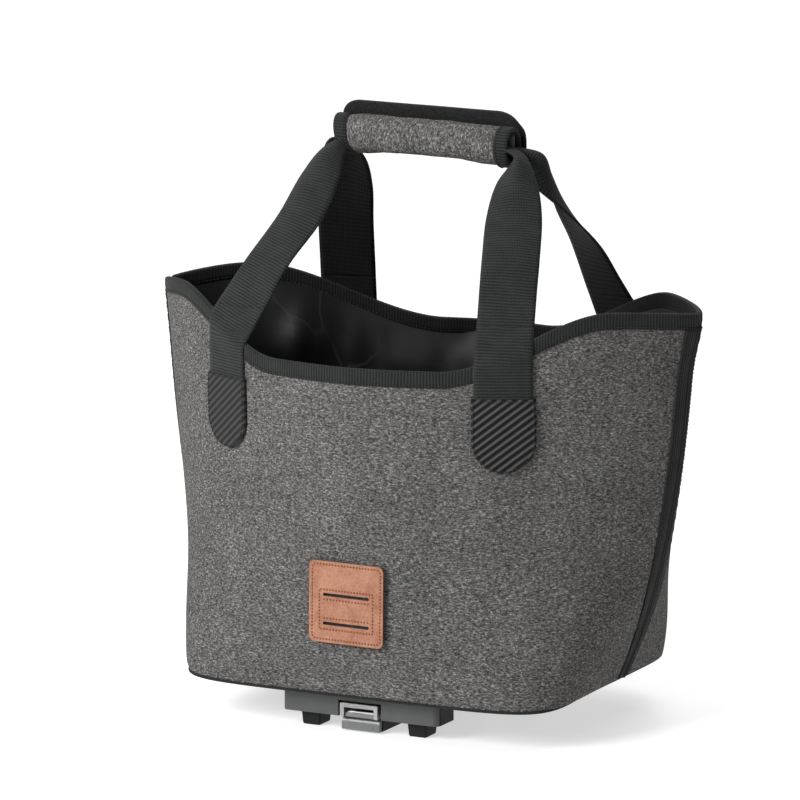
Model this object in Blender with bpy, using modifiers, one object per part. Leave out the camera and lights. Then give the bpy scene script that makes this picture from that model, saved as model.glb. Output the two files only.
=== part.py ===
"""Soft-sided bicycle bag with two joined webbing handles and a rack adapter under it.

Units are metres and +Z is up. X runs along the bag, -Y is the face with the leather patch and the
latch, and the origin is on the ground below the middle of the bag.
"""
import math

import bmesh
import bpy
from mathutils import Matrix, Vector

# Touching meshes keep this gap, and a cutting shape reaches this far past what it cuts.
GAP = 0.0003
CUT_MARGIN = 0.0100
HOLE_MARGIN = 0.0020

FRONT = -1
REAR = 1
LEFT = -1
RIGHT = 1
SIDE_NAMES = {FRONT: "front", REAR: "rear"}
END_NAMES = {LEFT: "left", RIGHT: "right"}

# Fabric body.
BOTTOM_Z = 0.0255
CROWN_Z = 0.2900
BOTTOM_HALF_LENGTH = 0.1480
TOP_HALF_LENGTH = 0.2040
BOTTOM_HALF_DEPTH = 0.1120
TOP_HALF_DEPTH = 0.1180
BULGES = {FRONT: 0.0030, REAR: 0.0062}
BULGE_POWER = 0.6
TOP_SQUARENESS = 1.55
BOTTOM_SQUARENESS = 6.0
SQUARENESS_POWER = 6
FLARE_LOW_SHARE = 0.65
FLARE_POWER = 3
WALL_THICKNESS = 0.0030
LINING_OFFSET = 0.0066
LINING_THICKNESS = 0.0010
PANEL_COLUMNS = 21
PANEL_ROWS = 7
PANEL_ROW_POWER = 1.5
OUTLINE_STEPS = 400
RING_COLUMNS = 24
END_COLUMN_STEP = 0.0035
SEAM_HALF_GAP = 0.0012

# Top edge: a dip in the middle of each wall, a shoulder, and a slight fall to the end seam.
RIM_DIP_Z = 0.2550
RIM_SHOULDER_Z = 0.2950
RIM_END_Z = 0.2900
RIM_DIP_ENDS = {FRONT: 0.24, REAR: 0.15}
RIM_SHOULDER_STARTS = {FRONT: 0.67, REAR: 0.68}
BINDING_DROP = 0.0100
BINDING_THICKNESS = 0.0010
BINDING_CLEARANCE = 0.0013

# Bottom stack.
SHEET_BOTTOM_THICKNESS = 0.0030
BOARD_THICKNESS = 0.0025
BOARD_INSET = 0.0085
PIPING_RADIUS = 0.0018
PIPING_CLEARANCE = 0.0009
CLAMP_LENGTH = 0.110
CLAMP_DEPTH = 0.150
CLAMP_THICKNESS = 0.0020

# Webbing and its sewn patches.
WEBBING_WIDTH = 0.0400
WEBBING_THICKNESS = 0.0015
STRAP_X = 0.1060
STRAP_SHIFTS = {FRONT: -0.0026, REAR: 0.0}
STRAP_OFFSET = 0.0034
STRAP_SPLIT_ABOVE_RIM = 0.0030
STRAP_JOINT_GAP = 0.0016
STRAP_BASE_BOTTOM_Z = 0.2005
STRAP_BASE_WIDTH = 0.0380
STRAP_BASE_ROWS = 4
STRAP_ROWS = 6
PATCH_WIDTH = 0.0440
PATCH_TOP_Z = 0.2400
PATCH_BOTTOM_Z = 0.1885
PATCH_OFFSET = 0.0054
PATCH_THICKNESS = 0.0012
PATCH_ROUND_ROWS = 4
PATCH_ROUND_SHARE = 0.95
SEAM_TAPE_WIDTH = 0.0250
SEAM_TAPE_THICKNESS = 0.0012
SEAM_TAPE_CLEARANCE = 0.0014
SEAM_TAPE_START = 0.0050
SEAM_TAPE_TOP_GAP = 0.0010

# Grip.
GRIP_Z = 0.4000
GRIP_LENGTH = 0.1180
GRIP_RADIUS_Y = 0.0130
GRIP_RADIUS_Z = 0.0145
GRIP_WALL = 0.0040
GRIP_BINDING_LENGTH = 0.0095
GRIP_BINDING_PROUD = 0.0008
GRIP_SIDES = 20
CORE_HEIGHT = 0.0170
CORE_THICKNESS = 0.0060
FLAP_HALF_LENGTH = 0.0700
FLAP_THICKNESS = 0.0022
FLAP_TOP_Z = 0.4240
FLAP_CORNER = 0.0140
FLAP_LEAN = 0.0010
FLAP_HINGE_DEGREES = -45
STRAP_TOP_X = 0.0790
STRAP_TOP_Y = 0.0065
STRAP_TOP_Z = 0.3970
STRAP_TOP_WIDTH = 0.0130

# Leather patch with slots for a tail light's clip.
LABEL_SIZE = 0.0570
LABEL_THICKNESS = 0.0018
LABEL_CENTRE_Z = 0.0945
LABEL_CORNER = 0.0040
LABEL_WALL_SHARE = 0.27
SLOT_LENGTH = 0.0350
SLOT_HEIGHT = 0.0020
SLOT_ABOVE_CENTRE = 0.0051
SLOT_BELOW_CENTRE = 0.0150
LOOP_THICKNESS = 0.0008
LOOP_HALF_WIDTH = 0.0210
LOOP_ABOVE_CENTRE = 0.0120
LOOP_BELOW_CENTRE = 0.0240

# Rack adapter.
HEAD_HALF_LENGTH = 0.0605
HEAD_FRONT_Y = -0.1000
HEAD_BACK_Y = -0.0760
HEAD_BOTTOM_Z = 0.0105
PLATE_BOTTOM_Z = 0.0160
PLATE_TOP_Z = 0.0252
PLATE_HALF_LENGTH = 0.0550
PLATE_BACK_Y = 0.0800
HEAD_CORNER = 0.0045
POCKET_HALF_LENGTH = 0.0165
POCKET_BACK_Y = -0.0840
POCKET_TOP_Z = 0.0216
RAIL_HALF_WIDTH = 0.0155
RAIL_FRONT_Y = -0.0950
RAIL_BACK_Y = 0.0620
RAIL_BOTTOM_Z = 0.0010
RAIL_TOP_Z = 0.0102
RAIL_ROOF_Z = 0.0070
GROOVE_HALF_WIDTH = 0.0080
GROOVE_START = 0.0030
RAIL_ROUNDING = 0.0008
FOOT_WIDTH = 0.0150
FOOT_DEPTH = 0.0180
FOOT_X = 0.0412
FRONT_FOOT_Y = -0.0855
REAR_FOOT_Y = 0.0690
FOOT_TAPER = 0.90
FOOT_ROUNDING = 0.0012

# Latch.
PIN_Y = -0.0965
PIN_Z = 0.0134
PIN_RADIUS = 0.00125
PIN_HOLE_RADIUS = 0.0016
PIN_HALF_LENGTH = 0.0220
BAIL_HALF_WIDTH = 0.0145
BAIL_LEG = 0.0030
BAIL_FRONT_Y = -0.1015
BAIL_BACK_Y = -0.0940
BAIL_BOTTOM_Z = 0.0108
BAIL_TOP_Z = 0.0205
TAB_THICKNESS = 0.0022
TAB_FRONT_Y = -0.0945
TAB_BACK_Y = -0.0925
TAB_OVERLAP = 0.0010
FINGER_HALF_WIDTH = 0.0040
FINGER_FRONT_Y = -0.0930
FINGER_BACK_Y = -0.0903
BOLT_HALF_WIDTH = 0.0050
BOLT_NOSE_Z = 0.0045
BOLT_SHOULDER_Z = 0.0135
BOLT_TOP_Z = 0.0155
BOLT_FRONT_Y = -0.0930
BOLT_STEM_Y = -0.0893
BOLT_BACK_Y = -0.0855
SPRING_RADIUS = 0.0024
SPRING_WIRE_RADIUS = 0.00025
SPRING_TURNS = 3
SPRING_STEPS_PER_TURN = 10

# Screws through adapter, bottom, board, lining and clamp plate.
SCREW_X = 0.0300
SCREW_YS = (-0.0500, 0.0500)
SCREW_RADIUS = 0.0025
SCREW_HOLE_RADIUS = 0.0029
SCREW_HEAD_RADIUS = 0.0045
SCREW_HEAD_HEIGHT = 0.0026
NUT_RADIUS = 0.0046
NUT_HEIGHT = 0.0040
SCREW_END_PROUD = 0.0010
ROUND_SEGMENTS = 12
NUT_SIDES = 6
RAIL_SCREW_YS = (-0.0600, 0.0400)
RAIL_SCREW_RADIUS = 0.0020
RAIL_SCREW_HOLE_RADIUS = 0.0024
RAIL_SCREW_HEAD_RADIUS = 0.0036
RAIL_SCREW_HEAD_HEIGHT = 0.0020
RAIL_SCREW_TOP_Z = 0.0208
RAIL_HOLE_TOP_Z = 0.0215

# Heights of the stack inside the bag.
BOARD_BOTTOM_Z = BOTTOM_Z + SHEET_BOTTOM_THICKNESS + GAP
BOARD_TOP_Z = BOARD_BOTTOM_Z + BOARD_THICKNESS
LINING_BOTTOM_Z = BOARD_TOP_Z + GAP
CLAMP_BOTTOM_Z = LINING_BOTTOM_Z + LINING_THICKNESS + GAP
CLAMP_TOP_Z = CLAMP_BOTTOM_Z + CLAMP_THICKNESS
WALL_BOTTOM_Z = BOTTOM_Z + SHEET_BOTTOM_THICKNESS + GAP

# Colour, roughness, metallic.
FINISHES = {
    "melange_fabric": ((0.135, 0.128, 0.125), 0.92, 0.0),
    "black_nylon": ((0.012, 0.012, 0.013), 0.45, 0.0),
    "black_webbing": ((0.027, 0.030, 0.030), 0.80, 0.0),
    "black_tape": ((0.030, 0.033, 0.033), 0.85, 0.0),
    "tan_leather": ((0.62, 0.30, 0.18), 0.55, 0.0),
    "grey_plastic": ((0.10, 0.105, 0.10), 0.45, 0.0),
    "black_plastic": ((0.015, 0.015, 0.015), 0.50, 0.0),
    "black_rubber": ((0.010, 0.010, 0.010), 0.70, 0.0),
    "silver_latch": ((0.45, 0.45, 0.45), 0.35, 0.8),
    "steel": ((0.55, 0.55, 0.56), 0.30, 1.0),
}


def clear_scene():
    """Remove every object that the file starts with."""
    for found in list(bpy.data.objects):
        bpy.data.objects.remove(found, do_unlink=True)


def new_collection(name):
    """Return a new collection linked to the scene."""
    collection = bpy.data.collections.new(name)
    bpy.context.scene.collection.children.link(collection)
    return collection


def new_material(name):
    """Return a Principled material with a finish from the table."""
    colour, roughness, metallic = FINISHES[name]
    material = bpy.data.materials.new(name)
    material.use_nodes = True
    shader = material.node_tree.nodes["Principled BSDF"]
    shader.inputs["Base Color"].default_value = (*colour, 1.0)
    shader.inputs["Roughness"].default_value = roughness
    shader.inputs["Metallic"].default_value = metallic
    material.diffuse_color = (*colour, 1.0)
    return material


clear_scene()
PARTS = new_collection("rack_bag")
CUTTERS = new_collection("cutters")
MATERIALS = {name: new_material(name) for name in FINISHES}
HANDLE_ORIGIN = bpy.data.objects.new("handle_origin", None)
PARTS.objects.link(HANDLE_ORIGIN)
HANDLE_ORIGIN.location = (0.0, 0.0, GRIP_Z)
BOLT_ORIGIN = bpy.data.objects.new("bolt_origin", None)
PARTS.objects.link(BOLT_ORIGIN)
BOLT_ORIGIN.location = (0.0, (BOLT_STEM_Y + BOLT_BACK_Y) / 2, BOLT_TOP_Z)


def add_object(name, bm, finish, origin=(0.0, 0.0, 0.0), parent=None):
    """Turn a bmesh in world coordinates into a named part with its origin at a given point."""
    bmesh.ops.translate(bm, verts=bm.verts, vec=-Vector(origin))
    mesh = bpy.data.meshes.new(name)
    bm.to_mesh(mesh)
    bm.free()
    part = bpy.data.objects.new(name, mesh)
    part.data.materials.append(MATERIALS[finish])
    PARTS.objects.link(part)
    part.location = origin
    if parent is not None:
        part.parent = parent
        part.location = Vector(origin) - parent.location
    return part


def solidify(part, thickness):
    """Thicken a surface away from the side that its faces look to."""
    shell = part.modifiers.new("thickness", "SOLIDIFY")
    shell.thickness = thickness
    shell.offset = -1.0
    shell.use_even_offset = True


def bevel(part, width, segments=2):
    """Round the sharp edges of a part."""
    rounding = part.modifiers.new("rounding", "BEVEL")
    rounding.width = width
    rounding.segments = segments
    rounding.limit_method = "ANGLE"
    rounding.angle_limit = math.radians(40)


def combine(part, tool, operation):
    """Join a tool to a part, or cut it away, with a Boolean modifier."""
    PARTS.objects.unlink(tool)
    CUTTERS.objects.link(tool)
    tool.hide_render = True
    tool.display_type = "WIRE"
    boolean = part.modifiers.new(operation.lower(), "BOOLEAN")
    boolean.operation = operation
    boolean.solver = "EXACT"
    boolean.object = tool


def box_bmesh(low, high):
    """Return a box between two corners."""
    low = Vector(low)
    high = Vector(high)
    bm = bmesh.new()
    size = Matrix.Diagonal((*(high - low), 1.0))
    bmesh.ops.create_cube(bm, size=1.0, matrix=Matrix.Translation((low + high) / 2) @ size)
    return bm


def cylinder_bmesh(radius, start, end, segments=16):
    """Return a capped cylinder from one point to another."""
    start = Vector(start)
    end = Vector(end)
    turn = (end - start).to_track_quat("Z", "Y").to_matrix().to_4x4()
    bm = bmesh.new()
    bmesh.ops.create_cone(
        bm, cap_ends=True, segments=segments, radius1=radius, radius2=radius,
        depth=(end - start).length, matrix=Matrix.Translation((start + end) / 2) @ turn)
    return bm


def cut_holes(part, positions, radius, low_z, high_z):
    """Cut a vertical round hole at each position."""
    for index, (x, y) in enumerate(positions):
        tool = add_object(f"{part.name}_hole_{index}",
                          cylinder_bmesh(radius, (x, y, low_z), (x, y, high_z)), "steel")
        combine(part, tool, "DIFFERENCE")


def grid_bmesh(rows, closed=False):
    """Return the open surface through rows of points, closed along each row if asked."""
    bm = bmesh.new()
    grid = [[bm.verts.new(point) for point in row] for row in rows]
    for lower, upper in zip(grid, grid[1:]):
        count = len(lower)
        for index in range(count if closed else count - 1):
            following = (index + 1) % count
            bm.faces.new((lower[index], lower[following], upper[following], upper[index]))
    return bm


def face_outwards(bm, centre):
    """Make a surface's faces agree and look away from a point inside it."""
    bmesh.ops.recalc_face_normals(bm, faces=bm.faces)
    score = sum((face.calc_center_median() - Vector(centre)).dot(face.normal) for face in bm.faces)
    if score < 0:
        bmesh.ops.reverse_faces(bm, faces=bm.faces)


def smoothstep(value):
    """Return a smooth rise from 0 to 1."""
    value = min(max(value, 0.0), 1.0)
    return value * value * (3 - 2 * value)


# The bag's horizontal section is a superellipse whose size and squareness change with height.

def height_fraction(z):
    """Return 0 at the bag's bottom and 1 at its crown."""
    return min(max((z - BOTTOM_Z) / (CROWN_Z - BOTTOM_Z), 0.0), 1.0)


def half_length(z):
    """Return the section's half length, which grows faster near the bottom."""
    t = height_fraction(z)
    flare = FLARE_LOW_SHARE * (1 - (1 - t) ** FLARE_POWER) + (1 - FLARE_LOW_SHARE) * t
    return BOTTOM_HALF_LENGTH + (TOP_HALF_LENGTH - BOTTOM_HALF_LENGTH) * flare


def half_depth(side, z):
    """Return the section's half depth on the front or rear side."""
    t = height_fraction(z)
    straight = BOTTOM_HALF_DEPTH + (TOP_HALF_DEPTH - BOTTOM_HALF_DEPTH) * t
    return straight + BULGES[side] * math.sin(math.pi * t ** BULGE_POWER)


def squareness(z):
    """Return the superellipse exponent: squarish at the bottom, lens-like at the top."""
    low_share = (1 - height_fraction(z)) ** SQUARENESS_POWER
    return TOP_SQUARENESS + (BOTTOM_SQUARENESS - TOP_SQUARENESS) * low_share


def wall_point(side, x, z, offset=0.0):
    """Return the wall's point at a given x and height, moved out by an offset."""
    a = half_length(z)
    b = half_depth(side, z)
    n = squareness(z)
    ratio = min(abs(x) / a, 1.0)
    y = b * (1 - ratio ** n) ** (1 / n)
    normal = Vector((math.copysign(ratio ** (n - 1) / a, x), side * (y / b) ** (n - 1) / b, 0.0))
    normal.normalize()
    return Vector((x, side * y, z)) + normal * offset


def half_outline(side, z, count, offset=0.0):
    """Return evenly spaced points along one side of the section, from the left end to the right."""
    a = half_length(z)
    xs = [-a * math.cos(math.pi * step / OUTLINE_STEPS) for step in range(OUTLINE_STEPS + 1)]
    points = [wall_point(side, x, z) for x in xs]
    travelled = [0.0]
    for before, after in zip(points, points[1:]):
        travelled.append(travelled[-1] + (after - before).length)
    total = travelled[-1]
    inner = count - 2
    between = total - 2 * END_COLUMN_STEP
    stops = [0.0]
    stops += [END_COLUMN_STEP + between * step / (inner - 1) for step in range(inner)]
    stops.append(total)
    outline = []
    position = 0
    for stop in stops:
        while position < OUTLINE_STEPS - 1 and travelled[position + 1] < stop:
            position += 1
        span = travelled[position + 1] - travelled[position]
        blend = min(max((stop - travelled[position]) / span, 0.0), 1.0)
        x = xs[position] + (xs[position + 1] - xs[position]) * blend
        outline.append(wall_point(side, x, z, offset))
    return outline


def rim_z(side, fraction):
    """Return the top edge's height at a fraction of the way along a wall."""
    away = abs(2 * fraction - 1)
    dip_ends = RIM_DIP_ENDS[side]
    shoulder_starts = RIM_SHOULDER_STARTS[side]
    rise = smoothstep((away - dip_ends) / (shoulder_starts - dip_ends))
    fall = smoothstep((away - shoulder_starts) / (1 - shoulder_starts))
    return RIM_DIP_Z + (RIM_SHOULDER_Z - RIM_DIP_Z) * rise - (RIM_SHOULDER_Z - RIM_END_Z) * fall


def strap_x(side, end):
    """Return where a strap's middle line is sewn; the front pair sits slightly to the left."""
    return STRAP_SHIFTS[side] + end * STRAP_X


def rim_z_at(side, x):
    """Return the top edge's height at a given x, found along the crown's outline."""
    outline = half_outline(side, CROWN_Z, 4 * PANEL_COLUMNS)
    nearest = min(range(len(outline)), key=lambda index: abs(outline[index].x - x))
    return rim_z(side, nearest / (len(outline) - 1))


def wall_row(side, share, offset, low_z, top_drop=0.0):
    """Return the row of points at a share of the way from a level up to the top edge."""
    row = []
    for column in range(PANEL_COLUMNS):
        top = rim_z(side, column / (PANEL_COLUMNS - 1)) - top_drop
        z = low_z + (top - low_z) * share
        point = half_outline(side, z, PANEL_COLUMNS, offset)[column]
        point.y = side * max(abs(point.y), SEAM_HALF_GAP)
        row.append(point)
    return row


def row_shares():
    """Return the rows' shares of the wall's height, closer together near the bottom's flare."""
    return [(index / PANEL_ROWS) ** PANEL_ROW_POWER for index in range(PANEL_ROWS + 1)]


def wall_rows(side, offset, low_z):
    """Return all rows of a wall."""
    return [wall_row(side, share, offset, low_z) for share in row_shares()]


def make_panel(side):
    """Make one fabric wall."""
    bm = grid_bmesh(wall_rows(side, 0.0, WALL_BOTTOM_Z))
    face_outwards(bm, (0.0, 0.0, 0.15))
    panel = add_object(f"{SIDE_NAMES[side]}_panel", bm, "melange_fabric")
    solidify(panel, WALL_THICKNESS)


def make_rim_binding(side):
    """Make the tape folded over one wall's top edge."""
    outside = BINDING_CLEARANCE + BINDING_THICKNESS
    inside = -(LINING_OFFSET + LINING_THICKNESS + outside)
    rows = []
    folds = ((outside, BINDING_DROP), (outside, -outside), (inside, -outside), (inside, BINDING_DROP))
    for offset, drop in folds:
        rows.append(wall_row(side, 1.0, offset, WALL_BOTTOM_Z, drop))
    bm = grid_bmesh(rows)
    face_outwards(bm, (0.0, side * 0.1, 0.2))
    binding = add_object(f"rim_binding_{SIDE_NAMES[side]}", bm, "black_tape")
    solidify(binding, BINDING_THICKNESS)


def full_outline(z, count, offset):
    """Return the whole section as a closed ring."""
    front = half_outline(FRONT, z, count, offset)
    rear = half_outline(REAR, z, count, offset)
    return front[:-1] + rear[::-1][:-1]


def make_lining():
    """Make the inner bag: one cup with a flat bottom."""
    rows = []
    for share in row_shares():
        ring = []
        for side, order in ((FRONT, 1), (REAR, -1)):
            row = wall_row(side, share, -LINING_OFFSET, LINING_BOTTOM_Z)
            row[0].y = 0.0
            row[-1].y = 0.0
            ring += row[::order][:-1]
        rows.append(ring)
    bm = grid_bmesh(rows, closed=True)
    bm.verts.ensure_lookup_table()
    bm.faces.new([bm.verts[index] for index in range(len(rows[0]))])
    face_outwards(bm, (0.0, 0.0, 0.15))
    lining = add_object("lining", bm, "black_nylon")
    solidify(lining, LINING_THICKNESS)
    cut_holes(lining, screw_positions(), SCREW_HOLE_RADIUS,
              LINING_BOTTOM_Z - HOLE_MARGIN, CLAMP_BOTTOM_Z + HOLE_MARGIN)


def screw_positions():
    """Return the four adapter screws' places."""
    return [(x, y) for y in SCREW_YS for x in (-SCREW_X, SCREW_X)]


def make_slab(name, offset, low_z, thickness, finish):
    """Make a flat sheet with the bottom's outline and the screws' holes."""
    ring = [Vector((point.x, point.y, low_z)) for point in full_outline(BOTTOM_Z, RING_COLUMNS, offset)]
    bm = bmesh.new()
    face = bm.faces.new([bm.verts.new(point) for point in ring])
    lifted = bmesh.ops.extrude_face_region(bm, geom=[face])
    top = [item for item in lifted["geom"] if isinstance(item, bmesh.types.BMVert)]
    bmesh.ops.translate(bm, verts=top, vec=(0.0, 0.0, thickness))
    bmesh.ops.recalc_face_normals(bm, faces=bm.faces)
    slab = add_object(name, bm, finish)
    cut_holes(slab, screw_positions(), SCREW_HOLE_RADIUS, low_z - HOLE_MARGIN, low_z + thickness + HOLE_MARGIN)


def make_piping():
    """Make the thin cord round the seam between walls and bottom."""
    ring = full_outline(BOTTOM_Z, RING_COLUMNS, PIPING_RADIUS + PIPING_CLEARANCE)
    curve = bpy.data.curves.new("bottom_piping", "CURVE")
    curve.dimensions = "3D"
    curve.bevel_depth = PIPING_RADIUS
    curve.bevel_resolution = 1
    spline = curve.splines.new("POLY")
    spline.points.add(len(ring) - 1)
    spline.use_cyclic_u = True
    for knot, point in zip(spline.points, ring):
        knot.co = (point.x, point.y, WALL_BOTTOM_Z - PIPING_RADIUS - GAP, 1.0)
    piping = bpy.data.objects.new("bottom_piping", curve)
    curve.materials.append(MATERIALS["black_tape"])
    PARTS.objects.link(piping)


def make_seam_tape(end):
    """Make the tape over the seam where the two walls meet."""
    rows = []
    offset = SEAM_TAPE_CLEARANCE + SEAM_TAPE_THICKNESS
    top = RIM_END_Z - BINDING_DROP - SEAM_TAPE_TOP_GAP
    levels = [WALL_BOTTOM_Z + (RIM_END_Z - WALL_BOTTOM_Z) * share for share in row_shares()]
    levels[0] += SEAM_TAPE_START
    levels[-1] = top
    for z in levels:
        row = []
        for side, shares in ((FRONT, (1.0, 0.6, 0.25)), (REAR, (0.0, 0.25, 0.6, 1.0))):
            for share in shares:
                row.append(seam_point(end, side, z, share * SEAM_TAPE_WIDTH / 2, offset))
        rows.append(row)
    bm = grid_bmesh(rows)
    face_outwards(bm, (0.0, 0.0, 0.15))
    tape = add_object(f"end_seam_tape_{END_NAMES[end]}", bm, "black_tape")
    solidify(tape, SEAM_TAPE_THICKNESS)


def seam_point(end, side, z, distance, offset):
    """Return the wall's point at a distance along Y from the end seam."""
    ratio = distance / half_depth(side, z)
    n = squareness(z)
    x = half_length(z) * (1 - ratio ** n) ** (1 / n)
    return wall_point(side, end * x, z, offset)


def make_strap_base(side, end, low_z, high_z):
    """Make the length of webbing sewn to a wall."""
    rows = []
    for index in range(STRAP_BASE_ROWS + 1):
        z = low_z + (high_z - low_z) * index / STRAP_BASE_ROWS
        row = []
        for across in (-0.5, 0.0, 0.5):
            x = strap_x(side, end) + across * STRAP_BASE_WIDTH
            row.append(wall_point(side, x, z, STRAP_OFFSET + WEBBING_THICKNESS))
        rows.append(row)
    bm = grid_bmesh(rows)
    face_outwards(bm, (0.0, 0.0, 0.2))
    base = add_object(f"strap_base_{SIDE_NAMES[side]}_{END_NAMES[end]}", bm, "black_webbing")
    solidify(base, WEBBING_THICKNESS)
    return rows[-1]


def make_strap(side, end, foot):
    """Make the free length of webbing from the rim up to the grip's end."""
    top_centre = Vector((end * STRAP_TOP_X, side * STRAP_TOP_Y, STRAP_TOP_Z))
    rows = []
    for index in range(STRAP_ROWS + 1):
        share = index / STRAP_ROWS
        spread = smoothstep(share * 1.2 - 0.2)
        row = []
        for point, across in zip(foot, (-0.5, 0.0, 0.5)):
            above = point + Vector((0.0, 0.0, STRAP_JOINT_GAP))
            wide = above.lerp(top_centre + (point - foot[1]), share)
            narrow = above.lerp(top_centre + Vector((across * STRAP_TOP_WIDTH, 0.0, 0.0)), share)
            row.append(wide.lerp(narrow, spread))
        rows.append(row)
    bm = grid_bmesh(rows)
    face_outwards(bm, (0.0, 0.0, 0.2))
    strap = add_object(f"strap_{SIDE_NAMES[side]}_{END_NAMES[end]}", bm, "black_webbing")
    solidify(strap, WEBBING_THICKNESS)


def make_patch(side, end):
    """Make the reinforcement sewn over a strap's lower end: straight top, round bottom."""
    radius = PATCH_WIDTH / 2
    rows = []
    heights = [PATCH_TOP_Z, (PATCH_TOP_Z + PATCH_BOTTOM_Z + radius) / 2]
    for step in range(PATCH_ROUND_ROWS + 1):
        angle = math.pi / 2 * PATCH_ROUND_SHARE * step / PATCH_ROUND_ROWS
        heights.append(PATCH_BOTTOM_Z + radius * (1 - math.sin(angle)))
    for z in heights:
        below = max(PATCH_BOTTOM_Z + radius - z, 0.0)
        half_width = math.sqrt(radius ** 2 - below ** 2)
        row = []
        for across in (-1.0, 0.0, 1.0):
            x = strap_x(side, end) + across * half_width
            row.append(wall_point(side, x, z, PATCH_OFFSET + PATCH_THICKNESS))
        rows.append(row)
    bm = grid_bmesh(rows)
    face_outwards(bm, (0.0, 0.0, 0.15))
    patch = add_object(f"patch_{SIDE_NAMES[side]}_{END_NAMES[end]}", bm, "black_webbing")
    solidify(patch, PATCH_THICKNESS)


def make_oval_tube(name, low_x, high_x, radius_y, radius_z, wall, finish):
    """Make a piece of oval tube round the grip's axis."""
    rows = []
    for x in (low_x, high_x):
        ring = []
        for step in range(GRIP_SIDES):
            angle = 2 * math.pi * step / GRIP_SIDES
            ring.append(Vector((x, radius_y * math.cos(angle), GRIP_Z + radius_z * math.sin(angle))))
        rows.append(ring)
    bm = grid_bmesh(rows, closed=True)
    face_outwards(bm, ((low_x + high_x) / 2, 0.0, GRIP_Z))
    tube = add_object(name, bm, finish, origin=(0.0, 0.0, GRIP_Z), parent=HANDLE_ORIGIN)
    solidify(tube, wall)


def make_grip():
    """Make the padded sleeve, its bound ends and the webbing inside."""
    half = GRIP_LENGTH / 2
    make_oval_tube("grip_wrap", -half, half, GRIP_RADIUS_Y, GRIP_RADIUS_Z, GRIP_WALL, "melange_fabric")
    for end in (LEFT, RIGHT):
        near = end * (half + GAP)
        far = end * (half + GAP + GRIP_BINDING_LENGTH)
        make_oval_tube(f"grip_binding_{END_NAMES[end]}", min(near, far), max(near, far),
                       GRIP_RADIUS_Y + GRIP_BINDING_PROUD, GRIP_RADIUS_Z + GRIP_BINDING_PROUD,
                       GRIP_WALL + GRIP_BINDING_PROUD, "black_tape")
    reach = half + GRIP_BINDING_LENGTH
    bm = box_bmesh((-reach, -CORE_THICKNESS / 2, GRIP_Z - CORE_HEIGHT / 2),
                   (reach, CORE_THICKNESS / 2, GRIP_Z + CORE_HEIGHT / 2))
    core = add_object("grip_core", bm, "black_webbing", origin=(0.0, 0.0, GRIP_Z), parent=HANDLE_ORIGIN)
    bevel(core, 0.0025)


def flap_hinge():
    """Return the line about which the grip's leaf opens."""
    angle = math.radians(FLAP_HINGE_DEGREES)
    clearance = GRIP_BINDING_PROUD + 2 * GAP + FLAP_THICKNESS
    return Vector((0.0, (GRIP_RADIUS_Y + clearance) * math.cos(angle),
                   GRIP_Z + (GRIP_RADIUS_Z + clearance) * math.sin(angle)))


def make_grip_flap():
    """Make the hook-and-loop leaf that stands behind and above the grip."""
    clearance = GRIP_BINDING_PROUD + 2 * GAP + FLAP_THICKNESS
    path = []
    for degrees in (FLAP_HINGE_DEGREES, -20, 5, 30, 50):
        angle = math.radians(degrees)
        path.append(((GRIP_RADIUS_Y + clearance) * math.cos(angle),
                     GRIP_Z + (GRIP_RADIUS_Z + clearance) * math.sin(angle)))
    last_y = path[-1][0]
    last_z = path[-1][1]
    for share in (0.35, 0.7, 1.0):
        path.append((last_y - FLAP_LEAN * share, last_z + (FLAP_TOP_Z - last_z) * share))
    rows = []
    for y, z in path:
        over = max(z - (FLAP_TOP_Z - FLAP_CORNER), 0.0)
        half = FLAP_HALF_LENGTH - FLAP_CORNER + math.sqrt(max(FLAP_CORNER ** 2 - over ** 2, 0.0))
        rows.append([Vector((half * across, y, z)) for across in (-1.0, 0.0, 1.0)])
    bm = grid_bmesh(rows)
    face_outwards(bm, (0.0, 0.0, GRIP_Z))
    flap = add_object("grip_flap", bm, "black_webbing", origin=flap_hinge(), parent=HANDLE_ORIGIN)
    solidify(flap, FLAP_THICKNESS)


def label_wall_y():
    """Return where the front wall stands behind the patch."""
    straight = BOTTOM_HALF_DEPTH + (TOP_HALF_DEPTH - BOTTOM_HALF_DEPTH) * LABEL_WALL_SHARE
    return -(straight + BULGES[FRONT])


def make_label():
    """Make the leather patch with two slots and the webbing loop behind it."""
    loop_back = label_wall_y() - GAP
    loop_front = loop_back - LOOP_THICKNESS
    bm = box_bmesh((-LOOP_HALF_WIDTH, loop_front, LABEL_CENTRE_Z - LOOP_BELOW_CENTRE),
                   (LOOP_HALF_WIDTH, loop_back, LABEL_CENTRE_Z + LOOP_ABOVE_CENTRE))
    add_object("light_loop", bm, "black_webbing")
    label_back = loop_front - GAP
    half = LABEL_SIZE / 2
    bm = box_bmesh((-half, label_back - LABEL_THICKNESS, LABEL_CENTRE_Z - half),
                   (half, label_back, LABEL_CENTRE_Z + half))
    through = [edge for edge in bm.edges
               if abs(edge.verts[0].co.y - edge.verts[1].co.y) > LABEL_THICKNESS / 2]
    bmesh.ops.bevel(bm, geom=through, offset=LABEL_CORNER, segments=3, affect="EDGES", profile=0.5)
    label = add_object("light_patch", bm, "tan_leather")
    for index, rise in enumerate((SLOT_ABOVE_CENTRE, -SLOT_BELOW_CENTRE)):
        z = LABEL_CENTRE_Z + rise
        bm = box_bmesh((-SLOT_LENGTH / 2, label_back - CUT_MARGIN, z - SLOT_HEIGHT / 2),
                       (SLOT_LENGTH / 2, label_back + CUT_MARGIN, z + SLOT_HEIGHT / 2))
        combine(label, add_object(f"label_slot_{index}", bm, "steel"), "DIFFERENCE")


def rail_screw_positions():
    """Return the places of the rail's own screws."""
    return [(0.0, y) for y in RAIL_SCREW_YS]


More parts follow.
